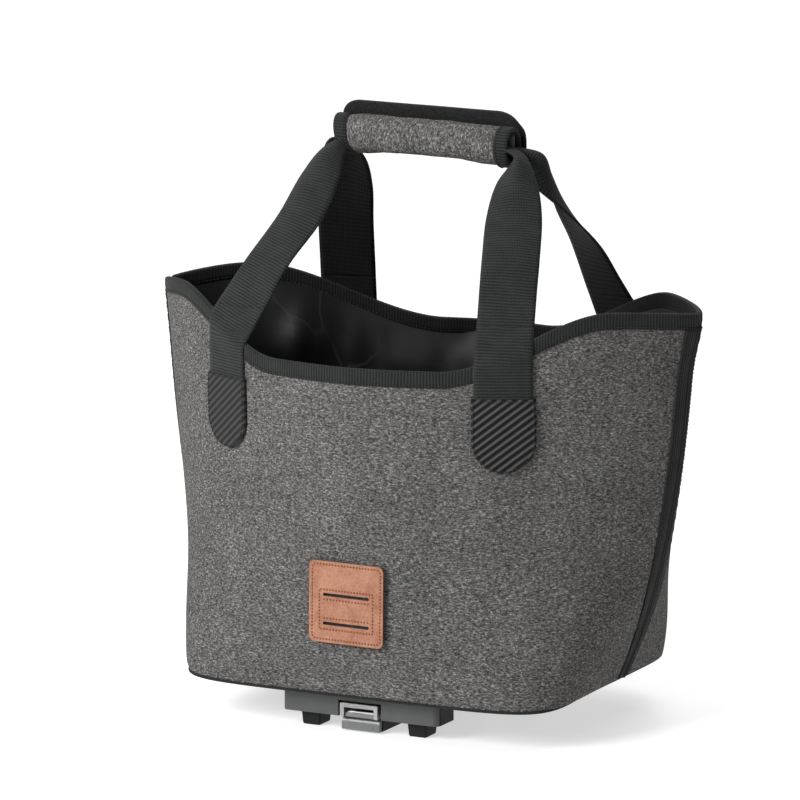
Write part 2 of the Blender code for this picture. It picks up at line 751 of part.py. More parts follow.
def make_adapter_plate():
    """Make the head with its latch pocket, and the plate behind it."""
    bm = box_bmesh((-HEAD_HALF_LENGTH, HEAD_FRONT_Y, HEAD_BOTTOM_Z),
                   (HEAD_HALF_LENGTH, HEAD_BACK_Y, PLATE_TOP_Z))
    half_height = (PLATE_TOP_Z - HEAD_BOTTOM_Z) / 2
    middle_y = (HEAD_FRONT_Y + HEAD_BACK_Y) / 2
    upright = [edge for edge in bm.edges
               if abs(edge.verts[0].co.z - edge.verts[1].co.z) > half_height and edge.verts[0].co.y < middle_y]
    bmesh.ops.bevel(bm, geom=upright, offset=HEAD_CORNER, segments=4, affect="EDGES", profile=0.5)
    plate = add_object("adapter_plate", bm, "grey_plastic")
    bm = box_bmesh((-PLATE_HALF_LENGTH, middle_y, PLATE_BOTTOM_Z), (PLATE_HALF_LENGTH, PLATE_BACK_Y, PLATE_TOP_Z))
    combine(plate, add_object("plate_tail", bm, "grey_plastic"), "UNION")
    bm = box_bmesh((-POCKET_HALF_LENGTH, HEAD_FRONT_Y - CUT_MARGIN, HEAD_BOTTOM_Z - CUT_MARGIN),
                   (POCKET_HALF_LENGTH, POCKET_BACK_Y, POCKET_TOP_Z))
    combine(plate, add_object("latch_pocket", bm, "steel"), "DIFFERENCE")
    reach = PIN_HALF_LENGTH + GAP
    bm = cylinder_bmesh(PIN_HOLE_RADIUS, (-reach, PIN_Y, PIN_Z), (reach, PIN_Y, PIN_Z))
    combine(plate, add_object("pin_bore", bm, "steel"), "DIFFERENCE")
    cut_holes(plate, screw_positions(), SCREW_HOLE_RADIUS, PLATE_BOTTOM_Z - CUT_MARGIN, PLATE_TOP_Z + CUT_MARGIN)
    for index, (x, y) in enumerate(rail_screw_positions()):
        bm = cylinder_bmesh(RAIL_SCREW_HOLE_RADIUS, (x, y, PLATE_BOTTOM_Z - CUT_MARGIN), (x, y, RAIL_HOLE_TOP_Z))
        combine(plate, add_object(f"plate_rail_hole_{index}", bm, "steel"), "DIFFERENCE")


def make_spacer():
    """Make the rib that fills the height between the thin plate and the rail."""
    bm = box_bmesh((-RAIL_HALF_WIDTH, HEAD_BACK_Y + GAP, RAIL_TOP_Z + GAP),
                   (RAIL_HALF_WIDTH, RAIL_BACK_Y, PLATE_BOTTOM_Z - GAP))
    spacer = add_object("rail_spacer", bm, "black_plastic")
    cut_holes(spacer, rail_screw_positions(), RAIL_SCREW_HOLE_RADIUS,
              RAIL_TOP_Z - HOLE_MARGIN, PLATE_BOTTOM_Z + HOLE_MARGIN)


def make_rail():
    """Make the tongue that slides into the rack, grooved below and slotted for the bolt."""
    bm = box_bmesh((-RAIL_HALF_WIDTH, RAIL_FRONT_Y, RAIL_BOTTOM_Z), (RAIL_HALF_WIDTH, RAIL_BACK_Y, RAIL_TOP_Z))
    rail = add_object("adapter_rail", bm, "black_plastic")
    bevel(rail, RAIL_ROUNDING, 1)
    bm = box_bmesh((-GROOVE_HALF_WIDTH, RAIL_FRONT_Y + GROOVE_START, RAIL_BOTTOM_Z - CUT_MARGIN),
                   (GROOVE_HALF_WIDTH, RAIL_BACK_Y + CUT_MARGIN, RAIL_ROOF_Z))
    combine(rail, add_object("rail_groove", bm, "steel"), "DIFFERENCE")
    bm = box_bmesh((-BOLT_HALF_WIDTH - GAP, BOLT_STEM_Y - GAP, RAIL_ROOF_Z - HOLE_MARGIN),
                   (BOLT_HALF_WIDTH + GAP, BOLT_BACK_Y + GAP, RAIL_TOP_Z + HOLE_MARGIN))
    combine(rail, add_object("bolt_slot", bm, "steel"), "DIFFERENCE")
    cut_holes(rail, rail_screw_positions(), RAIL_SCREW_HOLE_RADIUS,
              RAIL_ROOF_Z - HOLE_MARGIN, RAIL_TOP_Z + HOLE_MARGIN)


def make_foot(name, centre_y, top_z, end):
    """Make a tapered rubber foot."""
    x = end * FOOT_X
    bm = box_bmesh((x - FOOT_WIDTH / 2, centre_y - FOOT_DEPTH / 2, 0.0),
                   (x + FOOT_WIDTH / 2, centre_y + FOOT_DEPTH / 2, top_z))
    for vertex in bm.verts:
        if vertex.co.z < top_z / 2:
            vertex.co.x = x + (vertex.co.x - x) * FOOT_TAPER
            vertex.co.y = centre_y + (vertex.co.y - centre_y) * FOOT_TAPER
    foot = add_object(name, bm, "black_rubber")
    bevel(foot, FOOT_ROUNDING)


def make_bail():
    """Make the lever: a frame with a tab across it that reaches under the bolt's head."""
    bm = box_bmesh((-BAIL_HALF_WIDTH, BAIL_FRONT_Y, BAIL_BOTTOM_Z), (BAIL_HALF_WIDTH, BAIL_BACK_Y, BAIL_TOP_Z))
    bail = add_object("latch_bail", bm, "silver_latch", origin=(0.0, PIN_Y, PIN_Z))
    inner = BAIL_HALF_WIDTH - BAIL_LEG
    bm = box_bmesh((-inner, BAIL_FRONT_Y - CUT_MARGIN, BAIL_BOTTOM_Z - CUT_MARGIN),
                   (inner, BAIL_BACK_Y + CUT_MARGIN, BAIL_TOP_Z - BAIL_LEG))
    combine(bail, add_object("bail_window", bm, "steel"), "DIFFERENCE")
    tab_top = BOLT_SHOULDER_Z - GAP
    tab_low = tab_top - TAB_THICKNESS
    tab_reach = inner + TAB_OVERLAP
    bm = box_bmesh((-tab_reach, TAB_FRONT_Y, tab_low), (tab_reach, TAB_BACK_Y, tab_top))
    combine(bail, add_object("bail_tab", bm, "silver_latch"), "UNION")
    bm = box_bmesh((-FINGER_HALF_WIDTH, FINGER_FRONT_Y, tab_low), (FINGER_HALF_WIDTH, FINGER_BACK_Y, tab_top))
    combine(bail, add_object("bail_finger", bm, "silver_latch"), "UNION")
    reach = BAIL_HALF_WIDTH + CUT_MARGIN
    bm = cylinder_bmesh(PIN_HOLE_RADIUS, (-reach, PIN_Y, PIN_Z), (reach, PIN_Y, PIN_Z))
    combine(bail, add_object("bail_bore", bm, "steel"), "DIFFERENCE")


def make_latch():
    """Make the lever, its pin, the bolt it lifts and the spring above the bolt."""
    make_bail()
    pin = cylinder_bmesh(PIN_RADIUS, (-PIN_HALF_LENGTH, PIN_Y, PIN_Z), (PIN_HALF_LENGTH, PIN_Y, PIN_Z))
    add_object("latch_pin", pin, "steel")
    bm = box_bmesh((-BOLT_HALF_WIDTH, BOLT_STEM_Y, BOLT_NOSE_Z), (BOLT_HALF_WIDTH, BOLT_BACK_Y, BOLT_TOP_Z))
    bolt = add_object("latch_bolt", bm, "black_plastic", origin=tuple(BOLT_ORIGIN.location), parent=BOLT_ORIGIN)
    stem_middle_y = (BOLT_STEM_Y + BOLT_BACK_Y) / 2
    bm = box_bmesh((-BOLT_HALF_WIDTH, BOLT_FRONT_Y, BOLT_SHOULDER_Z), (BOLT_HALF_WIDTH, stem_middle_y, BOLT_TOP_Z))
    combine(bolt, add_object("bolt_head", bm, "black_plastic"), "UNION")
    make_spring()


def make_spring():
    """Make the coil that pushes the bolt down."""
    low = BOLT_TOP_Z + GAP + SPRING_WIRE_RADIUS
    high = POCKET_TOP_Z - GAP - SPRING_WIRE_RADIUS
    centre_y = (BOLT_FRONT_Y + BOLT_BACK_Y) / 2
    count = SPRING_STEPS_PER_TURN * SPRING_TURNS
    curve = bpy.data.curves.new("latch_spring", "CURVE")
    curve.dimensions = "3D"
    curve.bevel_depth = SPRING_WIRE_RADIUS
    curve.bevel_resolution = 0
    curve.use_fill_caps = True
    spline = curve.splines.new("POLY")
    spline.points.add(count)
    for index, knot in enumerate(spline.points):
        angle = 2 * math.pi * index / SPRING_STEPS_PER_TURN
        height = low + (high - low) * index / count
        knot.co = (SPRING_RADIUS * math.cos(angle), centre_y + SPRING_RADIUS * math.sin(angle), height, 1.0)
    curve.materials.append(MATERIALS["steel"])
    spring = bpy.data.objects.new("latch_spring", curve)
    PARTS.objects.link(spring)


def add_rod(name, radius, x, y, low_z, high_z, segments=ROUND_SEGMENTS):
    """Add an upright steel rod."""
    return add_object(name, cylinder_bmesh(radius, (x, y, low_z), (x, y, high_z), segments), "steel")


def make_screw(name, radius, head_radius, head_height, place, head_top, shaft_top):
    """Make a screw whose head is below."""
    x, y = place
    screw = add_rod(name, radius, x, y, head_top - head_height / 2, shaft_top)
    head = add_rod(f"{name}_head", head_radius, x, y, head_top - head_height, head_top)
    combine(screw, head, "UNION")


def make_nut(name, place, low_z):
    """Make a nut with a clear bore."""
    x, y = place
    nut = add_rod(name, NUT_RADIUS, x, y, low_z, low_z + NUT_HEIGHT, NUT_SIDES)
    bore = add_rod(f"{name}_bore", SCREW_HOLE_RADIUS, x, y, low_z - HOLE_MARGIN, low_z + NUT_HEIGHT + HOLE_MARGIN)
    combine(nut, bore, "DIFFERENCE")


def make_fasteners():
    """Make the screws and nuts that clamp the adapter, and the rail's own screws."""
    nut_bottom = CLAMP_TOP_Z + GAP
    for index, place in enumerate(screw_positions(), start=1):
        make_screw(f"screw_{index}", SCREW_RADIUS, SCREW_HEAD_RADIUS, SCREW_HEAD_HEIGHT, place,
                   PLATE_BOTTOM_Z - GAP, nut_bottom + NUT_HEIGHT + SCREW_END_PROUD)
        make_nut(f"nut_{index}", place, nut_bottom)
    for index, place in enumerate(rail_screw_positions(), start=1):
        make_screw(f"rail_screw_{index}", RAIL_SCREW_RADIUS, RAIL_SCREW_HEAD_RADIUS, RAIL_SCREW_HEAD_HEIGHT,
                   place, RAIL_ROOF_Z - GAP, RAIL_SCREW_TOP_Z)


def make_clamp_plate():
    """Make the plate inside the bag that the adapter is clamped to."""
    bm = box_bmesh((-CLAMP_LENGTH / 2, -CLAMP_DEPTH / 2, CLAMP_BOTTOM_Z),
                   (CLAMP_LENGTH / 2, CLAMP_DEPTH / 2, CLAMP_TOP_Z))
    clamp = add_object("clamp_plate", bm, "black_plastic")
    cut_holes(clamp, screw_positions(), SCREW_HOLE_RADIUS, CLAMP_BOTTOM_Z - HOLE_MARGIN, CLAMP_TOP_Z + HOLE_MARGIN)


def make_bag():
    """Make the fabric body."""
    for side in (FRONT, REAR):
        make_panel(side)
        make_rim_binding(side)
    make_lining()
    make_slab("bottom_panel", 0.0, BOTTOM_Z, SHEET_BOTTOM_THICKNESS, "melange_fabric")
    make_slab("base_board", -BOARD_INSET, BOARD_BOTTOM_Z, BOARD_THICKNESS, "black_plastic")
    make_piping()
    for end in (LEFT, RIGHT):
        make_seam_tape(end)


def make_handles():
    """Make the webbing, the patches and the grip."""
    for side in (FRONT, REAR):
        for end in (LEFT, RIGHT):
            outer_edge_x = strap_x(side, end) + end * WEBBING_WIDTH / 2
            split = rim_z_at(side, outer_edge_x) + STRAP_SPLIT_ABOVE_RIM
            foot = make_strap_base(side, end, STRAP_BASE_BOTTOM_Z, split)
            make_strap(side, end, foot)
            make_patch(side, end)
    make_grip()
    make_grip_flap()


def make_adapter():
    """Make everything under the bag."""
    make_adapter_plate()
    make_spacer()
    make_rail()
    for end in (LEFT, RIGHT):
        make_foot(f"foot_front_{END_NAMES[end]}", FRONT_FOOT_Y, HEAD_BOTTOM_Z - GAP, end)
        make_foot(f"foot_rear_{END_NAMES[end]}", REAR_FOOT_Y, PLATE_BOTTOM_Z - GAP, end)
    make_latch()
    make_clamp_plate()
    make_fasteners()


make_bag()
make_handles()
make_label()
make_adapter()
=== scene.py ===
"""Looks of a soft bicycle bag: melange shell, webbing handles, padded grip and rack adapter.

Metres, +Z up. X runs along the bag, and -Y is the face with the leather label and the latch.
"""

import math

import bmesh
import bpy
import numpy as np
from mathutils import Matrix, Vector, noise


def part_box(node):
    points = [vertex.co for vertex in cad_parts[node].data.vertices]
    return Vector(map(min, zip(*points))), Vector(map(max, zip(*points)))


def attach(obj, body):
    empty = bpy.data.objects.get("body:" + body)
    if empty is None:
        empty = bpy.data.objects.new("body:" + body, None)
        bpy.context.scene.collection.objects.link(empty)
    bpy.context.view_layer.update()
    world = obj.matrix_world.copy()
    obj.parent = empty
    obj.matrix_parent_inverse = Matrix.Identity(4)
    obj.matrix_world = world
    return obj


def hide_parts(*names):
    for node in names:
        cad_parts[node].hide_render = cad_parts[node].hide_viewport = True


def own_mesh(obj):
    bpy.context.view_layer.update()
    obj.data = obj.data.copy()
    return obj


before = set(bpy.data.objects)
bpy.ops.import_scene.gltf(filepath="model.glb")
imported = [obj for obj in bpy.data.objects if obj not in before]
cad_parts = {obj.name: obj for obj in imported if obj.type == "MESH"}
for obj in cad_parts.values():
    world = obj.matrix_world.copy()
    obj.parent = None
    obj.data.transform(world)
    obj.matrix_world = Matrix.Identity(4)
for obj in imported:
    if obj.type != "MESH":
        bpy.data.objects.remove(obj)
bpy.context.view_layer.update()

FRONT = -1
REAR = 1
LEFT = -1
RIGHT = 1
SIDE_NAMES = {FRONT: "front", REAR: "rear"}
END_NAMES = {LEFT: "left", RIGHT: "right"}

# The shell's section is a superellipse whose size and squareness change with height.
BOTTOM_Z = 0.0255
CROWN_Z = 0.2900
BOTTOM_HALF_LENGTH = 0.1480
TOP_HALF_LENGTH = 0.2040
BOTTOM_HALF_DEPTH = 0.1120
TOP_HALF_DEPTH = 0.1180
BULGES = {FRONT: 0.0030, REAR: 0.0062}
BULGE_POWER = 0.6
TOP_SQUARENESS = 1.55
BOTTOM_SQUARENESS = 6.0
SQUARENESS_POWER = 6
FLARE_LOW = 0.65
FLARE_POWER = 3

# The top edge dips in the middle of each wall.
RIM_DIP_Z = 0.2550
RIM_SHOULDER_Z = 0.2950
RIM_END_Z = 0.2900
RIM_DIP_ENDS = {FRONT: 0.24, REAR: 0.15}
RIM_SHOULDER_STARTS = {FRONT: 0.67, REAR: 0.68}

# Near its ends the shell is sampled more finely. Its upper tips flare, and the rim droops at its left end.
END_STEP = 0.0035
END_SHARE = 0.05
TIP_FLARES = {LEFT: 0.0010, RIGHT: 0.0050}
LEFT_TIP_DROP = 0.0028
LEFT_TIP_STARTS = 0.70
TIP_STARTS_X = 0.175
TIP_STARTS_Z = 0.245

# The walls' lower edge and thickness. The edge lifts towards the bag's ends and its rear.
WALL_LOW_Z = 0.0285
WALL_THICKNESS = 0.0016
BOTTOM_LIFT = 0.0055
LIFT_STARTS_X = 0.100
LIFT_RUN_X = 0.055
LIFT_STARTS_Y = -0.112
LIFT_RUN_Y = 0.078

# The straps, each under a ribbed patch. The front pair is sewn a little to the left.
STRAP_X = 0.1060
STRAP_SHIFTS = {FRONT: -0.0026, REAR: 0.0}
STRAP_WIDTH = 0.0400
STRAP_THICKNESS = 0.0015
STRAP_SPLIT_Z = 0.2878
PATCH_HALF_WIDTH = 0.0220
PATCH_TOP_Z = 0.2400
PATCH_BOTTOM_Z = 0.1885
RIB_SLOPE = math.radians(37)
RIB_PITCH = 0.0042

RIM_TAPE_OUTER = 0.0006
RIM_TAPE_INNER = -0.0036
RIM_TAPE_REACH = 0.0088
END_TAPE_HALF_WIDTH = 0.0125
TAPE_THICKNESS = 0.0009

LABEL_TURN = math.radians(-0.7)
LABEL_CORNER = 0.004
SLOT_HALF_LENGTH = 0.0175
SLOT_HALF_HEIGHT = 0.0010
SLOT_OFFSETS_Z = (0.0051, -0.0150)

# The grip leans down to the right, and its left end is cut at a slant.
GRIP_Z = 0.4000
GRIP_HALF_LENGTH = 0.0590
GRIP_RADIUS_Y = 0.0130
GRIP_RADIUS_Z = 0.0145
GRIP_TILT = 0.026
GRIP_SLANT = 0.0060
BINDING_REACH = 0.0095

CAMERA_AZIMUTH = math.radians(26.85)
CAMERA_ELEVATION = math.radians(9.92)
CAMERA_DISTANCE = 3.49
CAMERA_TARGET_Z = 0.216
CAMERA_LENS = 224.8
CAMERA_SHIFT = (-0.0315, 0.0021)


# ---------------------------------------------------------------- finishes

class Recipe:
    """The node graph of one finish."""

    def __init__(self, name, roughness=0.8, metallic=0.0, **sockets):
        self.material = bpy.data.materials.new(name)
        self.material.use_nodes = True
        self.tree = self.material.node_tree
        self.shader = self.tree.nodes["Principled BSDF"]
        self.shader.inputs["Roughness"].default_value = roughness
        self.shader.inputs["Metallic"].default_value = metallic
        for socket, value in sockets.items():
            self.shader.inputs[socket.replace("_", " ")].default_value = value

    def node(self, kind, inputs=(), **settings):
        made = self.tree.nodes.new(kind)
        for name, value in settings.items():
            setattr(made, name, value)
        for key, value in dict(inputs).items():
            if isinstance(value, bpy.types.NodeSocket):
                self.tree.links.new(value, made.inputs[key])
            else:
                made.inputs[key].default_value = value
        return made

    def space(self, stretch=(1, 1, 1)):
        """Return coordinates in metres on the object, stretched along its axes."""
        where = self.node("ShaderNodeTexCoord").outputs["Object"]
        return self.node("ShaderNodeMapping", {"Vector": where, "Scale": stretch}).outputs["Vector"]

    def cloth_space(self):
        """Return the two coordinates in metres that run along a woven piece's threads."""
        where = self.node("ShaderNodeUVMap", uv_map="weave").outputs["UV"]
        split = self.node("ShaderNodeSeparateXYZ", {"Vector": where})
        return split.outputs["X"], split.outputs["Y"], where

    def noise(self, where, scale, detail=2.0, roughness=0.5):
        inputs = {"Vector": where, "Scale": scale, "Detail": detail, "Roughness": roughness}
        return self.node("ShaderNodeTexNoise", inputs).outputs["Fac"]

    def math(self, operation, first, second=0.0):
        return self.node("ShaderNodeMath", {0: first, 1: second}, operation=operation).outputs[0]

    def weigh(self, *parts):
        """Return the sum of values, each times its weight."""
        terms = [value if weight == 1.0 else self.math("MULTIPLY", value, weight) for value, weight in parts]
        total = terms[0]
        for term in terms[1:]:
            total = self.math("ADD", total, term)
        return total

    def thread(self, coordinate, pitch):
        """Return rounded ridges across a coordinate, from 0 to 1."""
        turned = self.math("SINE", self.math("MULTIPLY", coordinate, 2 * math.pi / pitch))
        return self.math("ADD", self.math("MULTIPLY", turned, 0.5), 0.5)

    def ramp(self, value, stops):
        made = self.node("ShaderNodeValToRGB", {"Fac": value})
        bar = made.color_ramp
        while len(bar.elements) < len(stops):
            bar.elements.new(0.5)
        for element, (position, colour) in zip(bar.elements, stops):
            element.position = position
            element.color = (*colour, 1.0) if len(colour) == 3 else colour
        return made.outputs["Color"]

    def mix(self, share, first, second, blend="MIX"):
        made = self.node("ShaderNodeMix", data_type="RGBA", blend_type=blend)
        for key, value in (("Factor", share), ("A", first), ("B", second)):
            socket = next(s for s in made.inputs if s.name == key and s.enabled)
            if isinstance(value, bpy.types.NodeSocket):
                self.tree.links.new(value, socket)
            else:
                socket.default_value = value if key == "Factor" else (*value, 1.0)
        return next(s for s in made.outputs if s.enabled)

    def colour(self, socket):
        self.tree.links.new(socket, self.shader.inputs["Base Color"])
        return self

    def roughen(self, value, low, high):
        spread = self.node("ShaderNodeMapRange", {"Value": value, "To Min": low, "To Max": high})
        self.tree.links.new(spread.outputs["Result"], self.shader.inputs["Roughness"])
        return self

    def bump(self, height, distance, strength=1.0):
        inputs = {"Height": height, "Distance": distance, "Strength": strength}
        made = self.node("ShaderNodeBump", inputs)
        self.tree.links.new(made.outputs["Normal"], self.shader.inputs["Normal"])
        return self


def grey(value, warmth=0.0):
    """Return a grey, a little warmer or cooler."""
    return (value * (1 + warmth), value, value * (1 - warmth))


def melange_finish(name, stretch):
    """Heathered canvas: pale and dark yarn flecks, short across the stretched axis."""
    r = Recipe(name, 0.92, Specular_IOR_Level=0.10)
    flecks = r.noise(r.space(stretch), 420, 3.0, 0.75)
    fine = r.noise(r.space(stretch), 1000, 2.0, 0.6)
    tint = r.noise(r.space(), 260, 2.0, 0.6)
    yarn = r.weigh((flecks, 0.68), (fine, 0.32))
    stops = ((0.36, grey(0.013)), (0.45, grey(0.050, 0.02)), (0.51, grey(0.094, 0.03)),
             (0.56, grey(0.148, 0.03)), (0.66, grey(0.34, 0.03)))
    broad = r.ramp(r.noise(r.space(), 26, 2.0), ((0.3, grey(0.84)), (0.7, grey(1.0))))
    dyed = r.ramp(tint, ((0.35, (0.93, 0.97, 1.0)), (0.5, (0.98, 0.98, 0.97)), (0.65, (1.0, 0.93, 0.91))))
    r.colour(r.mix(1.0, r.mix(1.0, r.ramp(yarn, stops), broad, "MULTIPLY"), dyed, "MULTIPLY"))
    r.roughen(fine, 0.82, 0.98)
    return r.bump(yarn, 0.0011, 0.8).material


def webbing_finish(name, dark, light, rib, warp, depth=0.0005, rib_share=0.62):
    """Webbing or grosgrain: ribs across its length and finer threads along it, coloured by their height as
    painted shade and highlight.
    """
    r = Recipe(name, 0.75, Sheen_Weight=0.04, Sheen_Roughness=0.5, Specular_IOR_Level=0.12)
    across, along, where = r.cloth_space()
    waver = r.math("MULTIPLY", r.noise(where, 90, 2.0), 0.6 * rib)
    ribs = r.thread(r.math("ADD", along, waver), rib)
    threads = r.thread(across, warp)
    fuzz = r.noise(where, 1100, 3.0, 0.8)
    weave = r.weigh((ribs, rib_share), (threads, 1 - rib_share))
    height = r.weigh((weave, 0.60), (fuzz, 0.50))
    wear_and_highlight = r.noise(where, 60, 3.0)
    tone = r.weigh((height, 1.0), (wear_and_highlight, 0.35))
    # Painted shade in the grooves and painted highlight on the rib and thread tops; the wear noise adds
    # random tone.
    r.colour(r.ramp(tone, ((0.42, dark), (1.0, light))))
    r.roughen(fuzz, 0.62, 0.9)
    return r.bump(height, depth).material


def nylon_finish():
    """Coated lining: a faint sheen, thin pale creases here and there painted as highlights, and painted light
    on its raised folds.
    """
    r = Recipe("lining_nylon", 0.5, Specular_IOR_Level=0.32)
    where = r.space((1, 1, 0.6))
    bend = r.node("ShaderNodeTexNoise", {"Vector": where, "Scale": 18.0, "Detail": 3.0}).outputs["Color"]
    bent = r.node("ShaderNodeVectorMath", {0: bend, 1: (0.05, 0.05, 0.05), 2: where},
                  operation="MULTIPLY_ADD")
    facets = r.node("ShaderNodeTexVoronoi", {"Vector": bent.outputs["Vector"], "Scale": 21.0},
                    feature="DISTANCE_TO_EDGE")
    smooth = r.math("MINIMUM", r.math("MULTIPLY", facets.outputs["Distance"], 34.0), 1.0)
    wear_and_highlight = r.math("MULTIPLY", r.math("SUBTRACT", r.noise(where, 21, 2.0), 0.5), 6.0)
    crease_highlight = r.math("MULTIPLY", r.math("SUBTRACT", 1.0, smooth), r.math("MAXIMUM", wear_and_highlight, 0.0))
    folds = r.noise(where, 13, 3.0)
    taffeta = r.noise(where, 1500, 1.0)
    # The colour follows the fold height that also drives the bump: painted light on raised folds, painted
    # shade in hollows.
    cloud = r.ramp(folds, ((0.40, grey(0.0045, -0.02)), (0.60, grey(0.0130, -0.02))))
    # The pale crease lines are painted highlights.
    r.colour(r.mix(r.math("MINIMUM", crease_highlight, 1.0), cloud, grey(0.026, -0.02)))
    r.roughen(folds, 0.42, 0.56)
    height = r.weigh((folds, 0.35), (crease_highlight, 0.015), (taffeta, 0.01))
    return r.bump(height, 0.010, 0.5).material


def leather_finish():
    """Tan leather with a fine pebbled grain and uneven dye."""
    r = Recipe("tan_leather", 0.5, Specular_IOR_Level=0.4, Coat_Weight=0.05)
    where = r.space()
    cells = r.node("ShaderNodeTexVoronoi", {"Vector": where, "Scale": 1300.0}).outputs["Distance"]
    cloud = r.noise(where, 70, 4.0, 0.6)
    mottle = r.noise(where, 420, 3.0, 0.7)
    tone = r.weigh((cloud, 0.55), (mottle, 0.30), (cells, 0.20))
    r.colour(r.ramp(tone, ((0.40, (0.222, 0.082, 0.040)), (0.52, (0.283, 0.118, 0.065)),
                           (0.64, (0.345, 0.160, 0.096)))))
    r.roughen(cloud, 0.42, 0.62)
    return r.bump(r.weigh((cells, 1.0), (cloud, 0.4)), 0.0005, 0.7).material


def fibre_finish(name, low, high, scale=900, roughness=0.85):
    """Thread, brushed loops or a raw cut edge: fine fibres and little else."""
    r = Recipe(name, roughness, Sheen_Weight=0.08, Specular_IOR_Level=0.2)
    fibres = r.noise(r.space(), scale, 4.0, 0.7)
    r.colour(r.ramp(fibres, ((0.35, low), (0.68, high))))
    r.roughen(fibres, roughness - 0.12, roughness + 0.08)
    return r.bump(fibres, 0.0006, 0.8).material


def patch_finish(name, furrow, flank, ridge):
    """Twilled patch cloth: ribs that rise to the right, painted pale on their tops as highlight and dark in
    the furrows as shade.
    """
    r = Recipe(name, 0.8, Specular_IOR_Level=0.15)
    across, up, where = r.cloth_space()
    slope = r.math("SUBTRACT", r.math("MULTIPLY", across, math.sin(RIB_SLOPE)),
                   r.math("MULTIPLY", up, math.cos(RIB_SLOPE)))
    turned = r.math("COSINE", r.math("MULTIPLY", slope, 2 * math.pi / RIB_PITCH))
    fibres = r.noise(where, 1500, 3.0, 0.7)
    tone = r.weigh((turned, 0.42), (fibres, 0.5))
    # Painted shade in the furrows, painted highlight on the rib tops.
    r.colour(r.ramp(tone, ((0.02, grey(furrow)), (0.35, grey(flank)), (0.75, grey(ridge)))))
    r.roughen(fibres, 0.68, 0.88)
    return r.bump(fibres, 0.0005, 0.8).material


def moulded_finish(name, colour, low, high, metallic=0.0, scale=2600, stretch=(1, 1, 1), depth=0.00012,
                   shine=0.5):
    """Moulded plastic, rubber or cast metal: fine texture with slight rubbing marks."""
    r = Recipe(name, (low + high) / 2, metallic, Specular_IOR_Level=shine)
    pores = r.noise(r.space(stretch), scale, 2.0)
    rubbed = r.noise(r.space(), 55, 4.0, 0.6)
    tone = r.weigh((pores, 0.3), (rubbed, 0.7))
    pale = tuple(min(1.3 * c + 0.004, 1.0) for c in colour)
    r.colour(r.ramp(tone, ((0.35, tuple(0.82 * c for c in colour)), (0.6, colour), (0.75, pale))))
    r.roughen(rubbed, low, high)
    return r.bump(r.weigh((pores, 1.0), (rubbed, 0.5)), depth, 0.7).material


FINISHES = {
    "melange_fabric": melange_finish("melange_fabric", (1, 1, 2.3)),
    "grip_melange": melange_finish("grip_melange", (1.9, 1, 1)),
    "black_webbing": webbing_finish("black_webbing", grey(0.003), (0.032, 0.0345, 0.0335), 0.0021, 0.0011,
                                    0.0008),
    # The straps' inner faces: a darker copy of the black webbing, painted shade.
    "webbing_painted_shade": webbing_finish("webbing_painted_shade", grey(0.001), (0.0060, 0.0068, 0.0064), 0.0040, 0.0022),
    "black_tape": webbing_finish("black_tape", grey(0.003), (0.025, 0.0268, 0.0262), 0.0022, 0.0011, 0.0005,
                                 0.75),
    # The rim tape's inner leg: a darker copy of the black tape, painted shade.
    "tape_painted_shade": webbing_finish("tape_painted_shade", grey(0.001), (0.012, 0.013, 0.0125), 0.0022, 0.0011, 0.0004),
    "black_nylon": nylon_finish(),
    "tan_leather": leather_finish(),
    # The label's cut edges: dark brown, partly the leather's own edge colour and partly painted shade.
    "leather_edge_and_shade": fibre_finish("leather_edge_and_shade", (0.05, 0.018, 0.008), (0.16, 0.06, 0.03), 1600),
    "brown_thread": fibre_finish("brown_thread", (0.20, 0.050, 0.018), (0.32, 0.095, 0.040), 3000),
    "black_thread": fibre_finish("black_thread", grey(0.004), grey(0.022), 3000),
    "black_loop": fibre_finish("black_loop", grey(0.002), (0.015, 0.016, 0.0155), 620, 0.9),
    "patch_cloth": patch_finish("patch_cloth", 0.004, 0.024, 0.085),
    "soft_patch_cloth": patch_finish("soft_patch_cloth", 0.014, 0.027, 0.050),
    "grey_plastic": moulded_finish("grey_plastic", (0.056, 0.059, 0.058), 0.30, 0.46, shine=0.3),
    "black_plastic": moulded_finish("black_plastic", grey(0.006), 0.35, 0.55, shine=0.14),
    "nose_plastic": moulded_finish("nose_plastic", (0.105, 0.112, 0.110), 0.22, 0.36),
    "black_rubber": moulded_finish("black_rubber", grey(0.006), 0.4, 0.65, depth=0.0002, shine=0.16),
    "silver_latch": moulded_finish("silver_latch", (0.29, 0.29, 0.29), 0.28, 0.42, 0.75, 900, (1, 12, 12)),
    "steel": moulded_finish("steel", (0.50, 0.50, 0.51), 0.22, 0.38, 1.0, 1500),
}


# ---------------------------------------------------------------- mesh helpers

WELD = 1e-7


def finish_piece(name, mesh, finish, body):
    """Turn a mesh into a piece that rides on a body."""
    piece = bpy.data.objects.new(name, mesh)
    bpy.context.scene.collection.objects.link(piece)
    mesh.materials.append(FINISHES[finish])
    mesh.polygons.foreach_set("use_smooth", [True] * len(mesh.polygons))
    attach(piece, body)
    return piece


def grid_faces(rows, columns, ring=False):
    """Return the quads of a grid, joined along each row into a ring if asked."""
    faces = []
    for row in range(rows - 1):
        for column in range(columns if ring else columns - 1):
            following = (column + 1) % columns
            faces.append((row * columns + column, row * columns + following,
                          (row + 1) * columns + following, (row + 1) * columns + column))
    return faces


def threads_of(grid, ring=False):
    """Return each point's place along the rows and up the columns, in metres."""
    grid = np.concatenate([grid, grid[:, :1]], axis=1) if ring else grid
    across = np.linalg.norm(np.diff(grid, axis=1), axis=2)
    along = np.linalg.norm(np.diff(grid, axis=0), axis=2)
    u = np.concatenate([np.zeros((len(grid), 1)), np.cumsum(across, axis=1)], axis=1)
    v = np.concatenate([np.zeros((1, grid.shape[1])), np.cumsum(along, axis=0)], axis=0)
    return u - u[:, -1:] / 2, v


